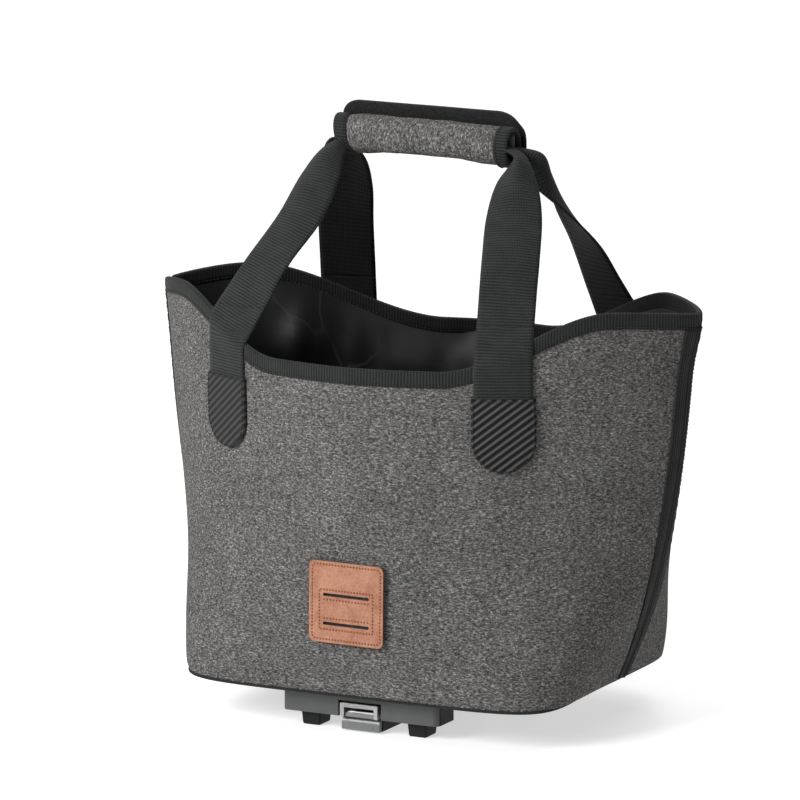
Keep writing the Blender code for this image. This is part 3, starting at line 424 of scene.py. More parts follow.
def grid_piece(name, grid, finish, body, centre=None, ring=False, turned=False, weave_map=None):
    """Make a surface piece through rows of points. Its weave map runs across and up the grid."""
    rows, columns = grid.shape[:2]
    mesh = bpy.data.meshes.new(name)
    mesh.from_pydata(grid.reshape(-1, 3).tolist(), [], grid_faces(rows, columns, ring))
    u, v = threads_of(grid, ring) if weave_map is None else weave_map
    if turned:
        u, v = v, u
    weave = mesh.uv_layers.new(name="weave")
    flat = []
    for row in range(rows - 1):
        for column in range(columns if ring else columns - 1):
            for r, c in ((row, column), (row, column + 1), (row + 1, column + 1), (row + 1, column)):
                flat += (u[r, c], v[r, c])
    weave.data.foreach_set("uv", flat)
    if centre is not None:
        away = sum((f.center - Vector(centre)).dot(f.normal) for f in mesh.polygons)
        if away < 0:
            mesh.flip_normals()
    return finish_piece(name, mesh, finish, body)


def mend(mesh, weld=0.0):
    """Weld a mesh's doubled points if asked, and turn its faces outwards."""
    bm = bmesh.new()
    bm.from_mesh(mesh)
    if weld:
        bmesh.ops.remove_doubles(bm, verts=bm.verts, dist=weld)
    bmesh.ops.recalc_face_normals(bm, faces=bm.faces)
    bm.to_mesh(mesh)
    bm.free()


def thicken(piece, thickness, offset=0.0, smooth=0):
    """Give a surface its thickness, and soften its edges if asked."""
    shell = piece.modifiers.new("thickness", "SOLIDIFY")
    shell.thickness = thickness
    shell.offset = offset
    if smooth:
        soft = piece.modifiers.new("soft", "SUBSURF")
        soft.levels = smooth
        soft.render_levels = smooth
    return piece


def smoothstep(value):
    """Return a smooth rise from 0 to 1."""
    value = np.clip(value, 0.0, 1.0)
    return value * value * (3 - 2 * value)


def travelled_along(line):
    """Return the distance travelled to each point of a line."""
    return np.concatenate([[0], np.cumsum(np.linalg.norm(np.diff(line, axis=0), axis=1))])


def spline(points, count):
    """Return evenly spaced points along a smooth curve through a few points."""
    points = np.asarray(points, float)
    steps = np.linalg.norm(np.diff(points, axis=0), axis=1)
    knots = np.concatenate([[0], np.cumsum(np.sqrt(steps))])
    slopes = np.gradient(points, knots, axis=0)
    fine = np.linspace(0, knots[-1], 12 * len(points))
    index = np.clip(np.searchsorted(knots, fine, side="right") - 1, 0, len(knots) - 2)
    span = (knots[index + 1] - knots[index])[:, None]
    t = (fine - knots[index])[:, None] / span
    curve = ((1 + 2 * t) * (1 - t) ** 2 * points[index] + t * (1 - t) ** 2 * span * slopes[index]
             + t * t * (3 - 2 * t) * points[index + 1] + t * t * (t - 1) * span * slopes[index + 1])
    return resample(curve, count)


def resample(curve, count):
    """Return evenly spaced points along a line."""
    travelled = travelled_along(curve)
    stops = np.linspace(0, travelled[-1], count)
    return np.stack([np.interp(stops, travelled, curve[:, axis]) for axis in range(curve.shape[1])], axis=1)


def stitch_row(name, path, away, body, finish="black_thread", pitch=0.003, length=0.0021, radius=0.0003):
    """Make a row of separate stitches along a path, each bedded into the cloth at its ends."""
    travelled = travelled_along(path)
    count = max(int(travelled[-1] / pitch), 1)
    stations = ((-0.5, 0.35, -1.4), (-0.36, 0.9, -0.1), (0.0, 1.0, 0.35), (0.36, 0.9, -0.1),
                (0.5, 0.35, -1.4))
    sides = 6
    vertices = []
    faces = []
    for index in range(count):
        centre = (index + 0.5) * travelled[-1] / count
        base = len(vertices)
        ends = [np.array([np.interp(centre + step * length, travelled, path[:, k]) for k in range(3)])
                for step in (-0.5, 0.5)]
        up = np.array([np.interp(centre, travelled, away[:, k]) for k in range(3)])
        up /= np.linalg.norm(up)
        ahead = (ends[1] - ends[0]) / np.linalg.norm(ends[1] - ends[0])
        beside = np.cross(ahead, up)
        middle = (ends[0] + ends[1]) / 2
        for along, girth, rise in stations:
            for side in range(sides):
                angle = 2 * math.pi * side / sides
                round_it = beside * math.cos(angle) + up * math.sin(angle)
                centre_line = middle + ahead * along * length + up * rise * radius
                vertices.append(centre_line + round_it * girth * radius)
        for ring in range(len(stations) - 1):
            for side in range(sides):
                following = (side + 1) % sides
                low = base + ring * sides
                faces.append((low + side, low + following, low + sides + following, low + sides + side))
        faces.append(tuple(base + side for side in reversed(range(sides))))
        last = base + (len(stations) - 1) * sides
        faces.append(tuple(last + side for side in range(sides)))
    mesh = bpy.data.meshes.new(name)
    mesh.from_pydata([tuple(v) for v in vertices], [], faces)
    return finish_piece(name, mesh, finish, body)


# ---------------------------------------------------------------- the shell's surface

def share_up(z):
    """Return how far up the shell a height is, from 0 at its bottom to 1 at its crown."""
    return np.clip((z - BOTTOM_Z) / (CROWN_Z - BOTTOM_Z), 0, 1)


def half_length(z):
    """Return half the section's length at a height."""
    t = share_up(z)
    flare = FLARE_LOW * (1 - (1 - t) ** FLARE_POWER) + (1 - FLARE_LOW) * t
    return BOTTOM_HALF_LENGTH + (TOP_HALF_LENGTH - BOTTOM_HALF_LENGTH) * flare


def half_depth(side, z):
    """Return a wall's distance from the middle plane at a height, where it stands farthest out."""
    t = share_up(z)
    bulge = BULGES[side] * np.sin(math.pi * t ** BULGE_POWER)
    return BOTTOM_HALF_DEPTH + (TOP_HALF_DEPTH - BOTTOM_HALF_DEPTH) * t + bulge


def squareness(z):
    """Return the section's superellipse exponent at a height."""
    return TOP_SQUARENESS + (BOTTOM_SQUARENESS - TOP_SQUARENESS) * (1 - share_up(z)) ** SQUARENESS_POWER


def section_y(side, x, z):
    """Return how far the wall stands from the middle plane at a place."""
    n = squareness(z)
    ratio = np.clip(np.abs(x) / half_length(z), 0, 1)
    return half_depth(side, z) * (1 - ratio ** n) ** (1 / n)


def wall_normal(side, x, z):
    """Return the wall's horizontal direction outwards."""
    n = squareness(z)
    a = half_length(z)
    b = half_depth(side, z)
    ratio = np.clip(np.abs(x) / a, 0, 1)
    y = (1 - ratio ** n) ** (1 / n)
    nx = np.sign(x) * ratio ** (n - 1) / a
    ny = side * y ** (n - 1) / b
    size = np.sqrt(nx * nx + ny * ny)
    return np.stack([nx / size, ny / size, np.zeros_like(nx)], axis=-1)


def bottom_lift(x, y):
    """Return how far the bottom edge lifts towards the bag's ends, behind its front corners."""
    outwards = smoothstep((np.abs(x) - LIFT_STARTS_X) / LIFT_RUN_X)
    return BOTTOM_LIFT * outwards * smoothstep((y - LIFT_STARTS_Y) / LIFT_RUN_Y)


def relief(side, x, z):
    """Return the cloth's own swells and hollows, outwards."""
    x, z = np.broadcast_arrays(np.asarray(x, float), np.asarray(z, float))
    out = np.empty(x.shape)
    for index in np.ndindex(x.shape):
        px, pz = x[index], z[index]
        swell = noise.noise(Vector((px * 9, side * 3.7, pz * 7)))
        ripple = noise.noise(Vector((px * 26, side * 9.1, pz * 14)))
        out[index] = 0.0016 * swell + 0.0006 * ripple
    tucked = np.clip((0.036 - z) / 0.008, 0, 1) ** 2
    return out * smoothstep((z - 0.03) / 0.03) - 0.0016 * tucked


def skin(side, x, z, lift=0.0):
    """Return points on the shell, lifted off it."""
    x, z = np.broadcast_arrays(np.asarray(x, float), np.asarray(z, float))
    y = side * np.maximum(section_y(side, x, z), 0.0006)
    beyond = np.clip((np.abs(x) - TIP_STARTS_X) / (TOP_HALF_LENGTH - TIP_STARTS_X), 0, None)
    reach = np.where(x < 0, TIP_FLARES[LEFT], TIP_FLARES[RIGHT])
    flare = reach * smoothstep((z - TIP_STARTS_Z) / (CROWN_Z - TIP_STARTS_Z)) * beyond ** 2
    points = np.stack([x + np.sign(x) * flare, y, z], axis=-1)
    out = relief(side, x, z) * smoothstep(section_y(side, x, z) / 0.03) + lift
    return points + wall_normal(side, x, z) * out[..., None]


def arc_lengths(xs, ys):
    """Return the distance travelled to each point of a section."""
    return np.concatenate([[0], np.cumsum(np.hypot(np.diff(xs), np.diff(ys)))])


def arc_table(side, z):
    """Return x and the distance travelled along one side of the section, from the left end."""
    xs = -half_length(z) * np.cos(np.linspace(0, math.pi, 401))
    ys = section_y(side, xs, np.full_like(xs, z))
    return xs, arc_lengths(xs, ys)


LEVELS = np.linspace(BOTTOM_Z, 0.30, 60)


def column_tables(side, fractions):
    """Return each column's x and y at each level, the columns evenly spaced along the wall."""
    tables = ([], [])
    for z in LEVELS:
        xs, travelled = arc_table(side, z)
        total = travelled[-1]
        stops = np.interp(fractions, [0, END_SHARE, 1 - END_SHARE, 1], [0, END_STEP, total - END_STEP, total])
        tables[0].append(np.interp(stops, travelled, xs))
        tables[1].append(np.interp(stops, travelled, section_y(side, xs, np.full_like(xs, z))))
    return np.array(tables)


def columns_at(side, tables, z):
    """Return each column's x at its own height. Near the ends it comes from y, which varies smoothly."""
    heights = np.minimum(z, LEVELS[-1])
    x, y = (np.array([np.interp(heights[j], LEVELS, table[:, j]) for j in range(len(z))]) for table in tables)
    n = squareness(heights)
    share = np.clip(y / half_depth(side, heights), 0, 1)
    near_end = share < 0.45
    return np.where(near_end, np.sign(x) * half_length(heights) * (1 - share ** n) ** (1 / n), x)


def rim_z(side, fraction):
    """Return the top edge's height at a fraction of the way along a wall."""
    away = np.abs(2 * fraction - 1)
    dip_ends = RIM_DIP_ENDS[side]
    shoulder_starts = RIM_SHOULDER_STARTS[side]
    rise = smoothstep((away - dip_ends) / (shoulder_starts - dip_ends))
    fall = smoothstep((away - shoulder_starts) / (1 - shoulder_starts))
    droop = smoothstep((away - LEFT_TIP_STARTS) / (1 - LEFT_TIP_STARTS))
    tip = np.where(fraction < 0.5, LEFT_TIP_DROP, 0.0) * droop
    return RIM_DIP_Z + (RIM_SHOULDER_Z - RIM_DIP_Z) * rise - (RIM_SHOULDER_Z - RIM_END_Z) * fall - tip


def rim_z_at(side, x):
    """Return the top edge's height at a given x."""
    xs, travelled = arc_table(side, CROWN_Z)
    total = travelled[-1]
    share = np.interp(np.interp(x, xs, travelled), [0, END_STEP, total - END_STEP, total],
                      [0, END_SHARE, 1 - END_SHARE, 1])
    return rim_z(side, share)


def columns_between(count):
    """Return the columns' fractions, closer together at the ends."""
    inner = np.linspace(END_SHARE, 1 - END_SHARE, count - 4)
    return np.concatenate([[0, END_SHARE / 2], inner, [1 - END_SHARE / 2, 1]])


def wall_grid(side, count, shares, lift, low=WALL_LOW_Z, top_drop=0.0):
    """Return rows of points on the shell between its bottom edge and its top edge."""
    fractions = columns_between(count)
    tables = column_tables(side, fractions)
    foot = tables[0][0]
    low_z = low + bottom_lift(foot, side * section_y(side, foot, np.full_like(foot, BOTTOM_Z)))
    high_z = rim_z(side, fractions) - top_drop
    rows = []
    for share in shares:
        z = low_z + (high_z - low_z) * share
        rows.append(skin(side, columns_at(side, tables, z), z, lift))
    return np.array(rows)


# ---------------------------------------------------------------- the bag

def make_wall(side):
    """Make one melange wall."""
    shares = np.linspace(0, 1, 56) ** 1.35
    grid = wall_grid(side, 141, shares, 0.0)
    wall = grid_piece(f"wall_{SIDE_NAMES[side]}", grid, "melange_fabric", "root", (0, 0, 0.15))
    thicken(wall, WALL_THICKNESS, -1.0)
    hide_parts(f"{SIDE_NAMES[side]}_panel")
    return wall


def make_rim_tape(side):
    """Make the tape folded over a wall's top edge, with a row of stitches on each leg."""
    fractions = columns_between(181)
    tables = column_tables(side, fractions)
    top = rim_z(side, fractions)
    outer, inner, reach = RIM_TAPE_OUTER, RIM_TAPE_INNER, RIM_TAPE_REACH
    middle = (outer + inner) / 2
    radius = (outer - inner) / 2
    profile = [(outer + 0.0003, -reach), (outer, -reach * 0.8), (outer + 0.0003, -reach * 0.4), (outer, 0.0)]
    profile += [(middle + radius * math.cos(a), 0.0008 + radius * 0.8 * math.sin(a))
                for a in np.linspace(0.25, math.pi - 0.25, 7)]
    profile += [(inner, 0.0), (inner - 0.0003, -reach * 0.5), (inner, -reach)]

    pinch = 0.35 + 0.65 * smoothstep((0.5 - np.abs(fractions - 0.5)) / 0.06)
    crown = np.where(fractions < 0.5, pinch, 1.0)

    def row(lift, rise):
        z = top + (rise * crown if rise > 0 else rise)
        return skin(side, columns_at(side, tables, z), z, lift * pinch if lift < 0 else lift)

    grid = np.array([row(lift, rise) for lift, rise in profile])
    tape = grid_piece(f"rim_tape_{SIDE_NAMES[side]}", grid, "black_tape", "root", turned=True)
    inward = sum((f.center - Vector((0, side * 0.116, 0.27))).dot(f.normal) for f in tape.data.polygons[:180])
    if inward < 0:
        tape.data.flip_normals()
    # The inner leg takes the darker copy of the tape: painted shade inside the bag.
    tape.data.materials.append(FINISHES["tape_painted_shade"])
    inside = len(profile) - 4
    for face in tape.data.polygons:
        face.material_index = int(face.index // (len(fractions) - 1) >= inside)
    thicken(tape, TAPE_THICKNESS, -1.0)
    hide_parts(f"rim_binding_{SIDE_NAMES[side]}")
    extras = []
    for label, lift, facing in (("outer", outer + 0.0003, 1), ("inner", inner - 0.0003, -1)):
        path = row(lift, -reach * 0.82)
        away = wall_normal(side, path[:, 0], path[:, 2]) * facing
        keep = slice(4, -4)
        extras.append(stitch_row(f"rim_stitches_{label}_{SIDE_NAMES[side]}", path[keep], away[keep], "root"))
    return [tape] + extras


def end_x(side, z, distance):
    """Return x at a short distance round the section from the bag's end."""
    n = squareness(z)
    ys = np.linspace(0, 1.5 * distance + 1e-6, 60)
    xs = half_length(z) * (1 - (ys / half_depth(side, z)) ** n) ** (1 / n)
    y = np.interp(distance, arc_lengths(xs, ys), ys)
    return half_length(z) * (1 - (y / half_depth(side, z)) ** n) ** (1 / n)


def make_end_tape(end):
    """Make the wide tape over the seam where the walls meet, with a raised fold down its middle."""
    spots = np.linspace(-1, 1, 21)
    heights = np.linspace(0, 1, 60)
    top = RIM_END_Z - 0.006
    low = WALL_LOW_Z + BOTTOM_LIFT + 0.0006
    rows = []
    for share in heights:
        z = low + (top - low) * share
        row = []
        reach = END_TAPE_HALF_WIDTH * (0.62 + 0.38 * smoothstep(share / 0.3))
        for spot in spots:
            side = FRONT if spot < 0 else REAR
            x = end * end_x(side, z, abs(spot) * reach)
            ridge = 0.0014 * math.exp(-(spot / 0.13) ** 2)
            groove = -0.0004 * math.exp(-((abs(spot) - 0.32) / 0.1) ** 2)
            pucker = 0.0002 * math.sin(share * 190 + spot * 3)
            row.append(skin(side, np.array(x), np.array(z), 0.0010 + ridge + groove + pucker))
        rows.append(row)
    grid = np.array(rows)
    middle = len(spots) // 2
    grid[:, middle, 1] = 0.0
    tape = grid_piece(f"end_tape_{END_NAMES[end]}", grid, "black_tape", "root", (0, 0, 0.15), turned=True)
    thicken(tape, TAPE_THICKNESS, -1.0)
    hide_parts(f"end_seam_tape_{END_NAMES[end]}")
    extras = [tape]
    for label, column in (("front", 2), ("rear", -3)):
        path = grid[:, column]
        side = FRONT if label == "front" else REAR
        away = wall_normal(side, path[:, 0], path[:, 2])
        extras.append(stitch_row(f"end_stitches_{label}_{END_NAMES[end]}", path, away, "root"))
    return extras


def ring_at(z, lift, count=160):
    """Return the whole section's outline at the bottom, with the ends lifted."""
    sides = []
    for side in (FRONT, REAR):
        xs, travelled = arc_table(side, BOTTOM_Z)
        x = np.interp(np.linspace(0, travelled[-1], count), travelled, xs)
        y = side * section_y(side, x, np.full_like(x, BOTTOM_Z))
        points = np.stack([x, y, np.full_like(x, z)], axis=1)
        points += wall_normal(side, x, np.full_like(x, BOTTOM_Z)) * lift
        points[:, 2] += bottom_lift(x, points[:, 1])
        sides.append(points)
    return np.concatenate([sides[0][:-1], sides[1][::-1][:-1]])


def make_bottom():
    """Make the bottom cloth, and the thin piping round it."""
    ring = ring_at(BOTTOM_Z + 0.0022, -0.0016)
    rows = []
    for share in np.concatenate([np.linspace(0.02, 0.9, 12), [0.95, 0.98, 1.0]]):
        row = ring.copy()
        row[:, :2] *= share
        flat = BOTTOM_Z + 0.0004
        row[:, 2] = flat + bottom_lift(row[:, 0], row[:, 1]) + 0.0018 * smoothstep((share - 0.93) / 0.07)
        rows.append(row)
    bottom = grid_piece("bag_bottom", np.array(rows), "melange_fabric", "root", (0, 0, 0.15), ring=True)
    close_middle(bottom, len(ring), face_down=True)
    thicken(bottom, 0.0012, -1.0)
    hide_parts("bottom_panel")
    path = ring_at(BOTTOM_Z + 0.0024, -0.0006)
    piping = cord_loop("bottom_cord", path, 0.0009, "black_tape", "root")
    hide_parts("bottom_piping")
    return bottom, piping


def close_middle(piece, count, face_down=False):
    """Close the small hole that a ring grid leaves in its middle, and face the piece down if asked."""
    bm = bmesh.new()
    bm.from_mesh(piece.data)
    bm.verts.ensure_lookup_table()
    bm.faces.new([bm.verts[index] for index in range(count)])
    bmesh.ops.recalc_face_normals(bm, faces=bm.faces)
    upwards = sum(face.normal.z * face.calc_area() for face in bm.faces)
    if face_down and upwards > 0:
        bmesh.ops.reverse_faces(bm, faces=bm.faces)
    bm.to_mesh(piece.data)
    bm.free()


def cord_loop(name, path, radius, finish, body, sides=10):
    """Make a round cord along a level path that closes on itself."""
    ahead = np.roll(path, -1, axis=0) - np.roll(path, 1, axis=0)
    ahead /= np.linalg.norm(ahead, axis=1)[:, None]
    up = np.tile(np.array([0.0, 0.0, 1.0]), (len(path), 1))
    beside = np.cross(ahead, up)
    beside /= np.linalg.norm(beside, axis=1)[:, None]
    up = np.cross(beside, ahead)
    rows = []
    for step in range(len(path)):
        angles = np.linspace(0, 2 * math.pi, sides, endpoint=False)
        rows.append([path[step] + radius * (beside[step] * math.cos(a) + up[step] * math.sin(a))
                     for a in angles])
    rows.append(rows[0])
    made = grid_piece(name, np.array(rows), finish, body, ring=True)
    mend(made.data, WELD)
    return made


# The lining's long folds: the wall, x at the top edge, lean, height and half width.
LINING_FOLDS = (
    (REAR, -0.052, 0.75, 0.0052, 0.0075), (REAR, 0.004, 0.30, 0.0030, 0.0100),
    (REAR, 0.046, -0.55, 0.0042, 0.0065), (REAR, 0.112, 0.35, 0.0040, 0.0080),
    (REAR, -0.128, -0.20, 0.0040, 0.0085), (FRONT, -0.070, -0.45, 0.0045, 0.0080),
    (FRONT, 0.030, 0.50, 0.0038, 0.0070), (FRONT, 0.120, -0.25, 0.0042, 0.0085),
)


def long_folds(side, x, z):
    """Return how far the lining's long folds stand inwards at a place."""
    out = 0.0
    for wall, top_x, lean, height, half_width in LINING_FOLDS:
        if wall == side:
            across = (x - top_x - lean * (RIM_SHOULDER_Z - z)) / half_width
            out += height * math.exp(-across * across)
    return out


def make_lining():
    """Make the creased inner bag, one cup that hangs from the rim."""
    count = 121
    shares = np.linspace(0, 1, 46)
    rows = []
    grids = {side: wall_grid(side, count, shares, 0.0, 0.0345, 0.0005) for side in (FRONT, REAR)}
    for index, share in enumerate(shares):
        ring = []
        for side, order in ((FRONT, 1), (REAR, -1)):
            row = grids[side][index]
            inward = -wall_normal(side, row[:, 0], row[:, 2])
            depth = np.empty(len(row))
            for j, (x, y, z) in enumerate(row):
                fold = noise.noise(Vector((x * 13, y * 13 + side, z * 7)))
                small = noise.noise(Vector((x * 30, y * 30, z * 26 + 4)))
                ridge = 0.3 - abs(noise.noise(Vector((x * 40, y * 36, z * 30 + 7))))
                loose = float(smoothstep(np.array((1 - share) / 0.18)))
                slack = 0.0054 + 0.0060 * fold + 0.0034 * small + 0.0030 * ridge + long_folds(side, x, z)
                depth[j] = 0.0030 + loose * slack
            depth = np.maximum(depth, 0.0026)
            pulled = row + inward * depth[:, None]
            pulled[0, 1] = 0.0
            pulled[-1, 1] = 0.0
            ring.append(pulled[::order][:-1])
        rows.append(np.concatenate(ring))
    lowest = rows[0]
    bottom = []
    for share in np.linspace(0.03, 0.97, 14):
        row = lowest.copy()
        row[:, :2] *= share
        row[:, 2] = 0.0326 + 0.0006 * share
        bottom.append(row)
    grid = np.array(bottom + rows)
    lining = grid_piece("bag_lining", grid, "black_nylon", "root", ring=True)
    close_middle(lining, grid.shape[1])
    thicken(lining, 0.0005, 1.0)
    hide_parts("lining")
    return lining


# ---------------------------------------------------------------- straps

# How each strap hangs: place, width, and the heading of its outer face in degrees.
STRAP_STATIONS = {
    (FRONT, RIGHT): (((0.0970, -0.0640, 0.330), 0.0390, -66), ((0.0880, -0.0405, 0.3560), 0.0375, -70),
                     ((0.0820, -0.0255, 0.3760), 0.0275, -74), ((0.0775, -0.0125, 0.3935), 0.0070, -78),
                     ((0.0620, -0.0050, 0.3990), 0.0080, -84)),
    (FRONT, LEFT): (((-0.0875, -0.0680, 0.318), 0.0400, -105), ((-0.0745, -0.0480, 0.3470), 0.0370, -97),
                    ((-0.0690, -0.0300, 0.3730), 0.0320, -95), ((-0.0665, -0.0160, 0.3900), 0.0210, -95),
                    ((-0.0590, -0.0060, 0.3990), 0.0120, -95)),
    (REAR, LEFT): (((-0.0905, 0.0540, 0.330), 0.0400, 106), ((-0.0790, 0.0330, 0.3600), 0.0390, 102),
                   ((-0.0715, 0.0180, 0.3810), 0.0330, 98), ((-0.0672, 0.0080, 0.3960), 0.0180, 95),
                   ((-0.0580, 0.0045, 0.3990), 0.0120, 95)),
    (REAR, RIGHT): (((0.0950, 0.0600, 0.326), 0.0400, 56), ((0.0895, 0.0380, 0.3520), 0.0380, 38),
                    ((0.0825, 0.0170, 0.3780), 0.0270, -6), ((0.0800, 0.0095, 0.3930), 0.0190, -12),
                    ((0.0640, 0.0045, 0.3975), 0.0110, 40)),
}


def strap_x(side, end):
    """Return x of a strap's middle where it is sewn on."""
    return end * STRAP_X + STRAP_SHIFTS[side]


def place_name(side, end):
    """Return the words that tell a strap's pieces apart."""
    return f"{SIDE_NAMES[side]}_{END_NAMES[end]}"


def strap_columns(side, end, count=13):
    """Return the strap's edges and threads, from under the patch to inside the grip."""
    columns = []
    x_mid = strap_x(side, end)
    facing = wall_normal(side, np.array([x_mid]), np.array([0.27]))[0]
    for spot in np.linspace(-1, 1, count):
        x = x_mid - facing[1] * spot * STRAP_WIDTH / 2
        top = float(rim_z_at(side, np.array([x]))[0])
        levels = np.linspace(PATCH_BOTTOM_Z + 0.012, top, 9)
        points = [skin(side, np.array(x), np.array(z), 0.0013) for z in levels]
        place, width, heading = STRAP_STATIONS[side, end][0]
        angle = math.radians(heading)
        first = np.array(place) + np.array([-math.sin(angle), math.cos(angle), 0.0]) * spot * width / 2
        points += [points[-1] + (first - points[-1]) * share for share in (0.12, 0.45)]
        for place, width, heading in STRAP_STATIONS[side, end]:
            angle = math.radians(heading)
            normal = np.array([math.cos(angle), math.sin(angle), 0.0])
            across = np.array([-math.sin(angle), math.cos(angle), 0.0])
            fold = min(0.75 * math.sqrt(max(STRAP_WIDTH ** 2 - width ** 2, 0.0)) / 2, 0.0115)
            points.append(np.array(place) + across * spot * width / 2 + normal * fold * (0.45 - spot * spot))
        columns.append(spline(points, 160))
    return columns


def strap_weave(grid):
    """Return a strap's weave map, with its ribs square to its middle line."""
    middle = grid[:, grid.shape[1] // 2]
    ahead = np.gradient(middle, axis=0)
    ahead /= np.linalg.norm(ahead, axis=1)[:, None]
    travelled = travelled_along(middle)
    offset = grid - middle[:, None]
    along = np.einsum("rck,rk->rc", offset, ahead)
    beside = np.sqrt(np.maximum((offset ** 2).sum(axis=2) - along ** 2, 0.0))
    return beside * np.sign(np.linspace(-1, 1, grid.shape[1])), travelled[:, None] + along


def shade_inner_face(strap):
    """Give a strap's inner face a darker copy of the webbing, as painted shade."""
    strap.data.materials.append(FINISHES["webbing_painted_shade"])
    strap.modifiers["thickness"].material_offset = 1


def make_strap(side, end):
    """Make one strap: the length sewn to the wall, and the free length up to the grip."""
    sewn = []
    free = []
    for column in strap_columns(side, end):
        above = np.argmax(column[:, 2] > STRAP_SPLIT_Z)
        share = (STRAP_SPLIT_Z - column[above - 1, 2]) / (column[above, 2] - column[above - 1, 2])
        cut = column[above - 1] + (column[above] - column[above - 1]) * share
        sewn.append(resample(column[:above + 1], 26))
        free.append(resample(np.concatenate([[cut], column[above:]]), 64))
    name = place_name(side, end)
    sewn = np.stack(sewn, axis=1)
    free = np.stack(free, axis=1)
    base = grid_piece(f"sewn_webbing_{name}", sewn, "black_webbing", "root", (0, 0, 0.2),
                      weave_map=strap_weave(sewn))
    shade_inner_face(thicken(base, STRAP_THICKNESS - 0.0002))
    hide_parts(f"strap_base_{name}")
    strap = grid_piece(f"webbing_{name}", free, "black_webbing", "root", (0, 0, 0.2),
                       weave_map=strap_weave(free))
    shade_inner_face(thicken(strap, STRAP_THICKNESS))
    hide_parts(f"strap_{name}")
    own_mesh(strap)


def make_patch(side, end):
    """Make the ribbed patch sewn over a strap's lower end, with its stitched border."""
    radius = PATCH_HALF_WIDTH
    straight = PATCH_TOP_Z - PATCH_BOTTOM_Z - radius
    heights = np.concatenate([PATCH_TOP_Z - np.linspace(0, straight, 44)[:-1],
                              PATCH_BOTTOM_Z + radius * (1 - np.sin(np.linspace(0, math.pi / 2, 44)))])
    spots = np.linspace(-1, 1, 65)
    x_mid = strap_x(side, end)
    facing = abs(wall_normal(side, np.array([x_mid]), np.array([0.22]))[0][1])
    mirror = 1 if side == FRONT else -1
    rows = []
    places = []
    for z in heights:
        below = max(PATCH_BOTTOM_Z + radius - z, 0.0)
        half = max(math.sqrt(max(radius ** 2 - below ** 2, 0.0)), 0.0004)
        local = spots * half
        edge = np.minimum(half - np.abs(local), PATCH_TOP_Z - z)
        if below > 0:
            edge = np.minimum(edge, radius - np.hypot(local, below))
        across = local * mirror * math.sin(RIB_SLOPE)
        phase = (across - (z - PATCH_BOTTOM_Z) * math.cos(RIB_SLOPE)) / RIB_PITCH
        ribs = 0.00048 * (0.5 + 0.5 * np.cos(2 * math.pi * phase)) ** 0.8
        field = smoothstep((edge - 0.0030) / 0.0008)
        border = 0.0003 * np.sin(np.clip(edge / 0.0030, 0, 1) * math.pi)
        rim = 0.0022 * smoothstep(edge / 0.0012)
        lift = 0.0009 + rim + ribs * field + border * (1 - field)
        rows.append(skin(side, x_mid + local * facing, np.full_like(local, z), lift))
        places.append(local * mirror)
    name = place_name(side, end)
    heights_map = np.repeat((heights - PATCH_BOTTOM_Z)[:, None], len(spots), axis=1)
    finish = "patch_cloth" if end == RIGHT else "soft_patch_cloth"
    patch = grid_piece(f"ribbed_patch_{name}", np.array(rows), finish, "root", (0, 0, 0.15),
                       weave_map=(np.array(places), heights_map))
    thicken(patch, 0.0008, -1.0)
    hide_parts(f"patch_{name}")
    extras = [patch]
    inset = 0.0016
    inner = radius - inset
    turn = np.linspace(0, math.pi, 40)
    outline = [(-inner, z) for z in np.linspace(PATCH_TOP_Z - inset, PATCH_BOTTOM_Z + radius, 12)]
    outline += [(-inner * math.cos(a), PATCH_BOTTOM_Z + radius - inner * math.sin(a)) for a in turn[1:]]
    outline += [(inner, z) for z in np.linspace(PATCH_BOTTOM_Z + radius, PATCH_TOP_Z - inset, 12)[1:]]
    outline += [(x, PATCH_TOP_Z - inset) for x in np.linspace(inner, -inner, 16)[1:]]
    path = np.array(outline)
    x = x_mid + path[:, 0] * facing
    points = skin(side, x, path[:, 1], 0.0035)
    away = wall_normal(side, x, path[:, 1])
    extras.append(stitch_row(f"patch_stitches_{name}", points, away, "root", pitch=0.0028, radius=0.00035))
    return extras


# ---------------------------------------------------------------- grip

def grip_point(x, angle, radius_y, radius_z):
    """Return a point round the grip's axis; the grip leans, and its left end is cut at a slant."""
    slant = GRIP_SLANT * float(smoothstep(np.array(-x / 0.06))) * (1 - math.sin(angle)) / 2
    x = x + slant
    return np.array([x, radius_y * math.cos(angle), GRIP_Z + radius_z * math.sin(angle) - GRIP_TILT * x])


def grip_shell(name, profile, finish, lumps=0.0, hollow=0.0):
    """Make a closed sleeve round the grip's axis from its profile of places and radius changes."""
    rows = []
    angles = np.linspace(0, 2 * math.pi, 48, endpoint=False)
    for x, grow in profile:
        row = []
        for angle in angles:
            bump = lumps * noise.noise(Vector((x * 55, math.cos(angle) * 1.3, math.sin(angle) * 1.3)))
            bump += 0.4 * lumps * noise.noise(Vector((x * 160, math.cos(angle) * 3, math.sin(angle) * 3)))
            sag = hollow * (1 - (x / GRIP_HALF_LENGTH) ** 2) * max(-math.sin(angle), 0.0) ** 2
            sag *= 1 if grow > -0.002 else 0.3
            row.append(grip_point(x, angle, GRIP_RADIUS_Y + grow + bump, GRIP_RADIUS_Z + grow + bump - sag))
        rows.append(row)
    rows.append(rows[0])
    sleeve = grid_piece(name, np.array(rows), finish, "handle", ring=True, turned=True)
    mend(sleeve.data, WELD)
    return sleeve


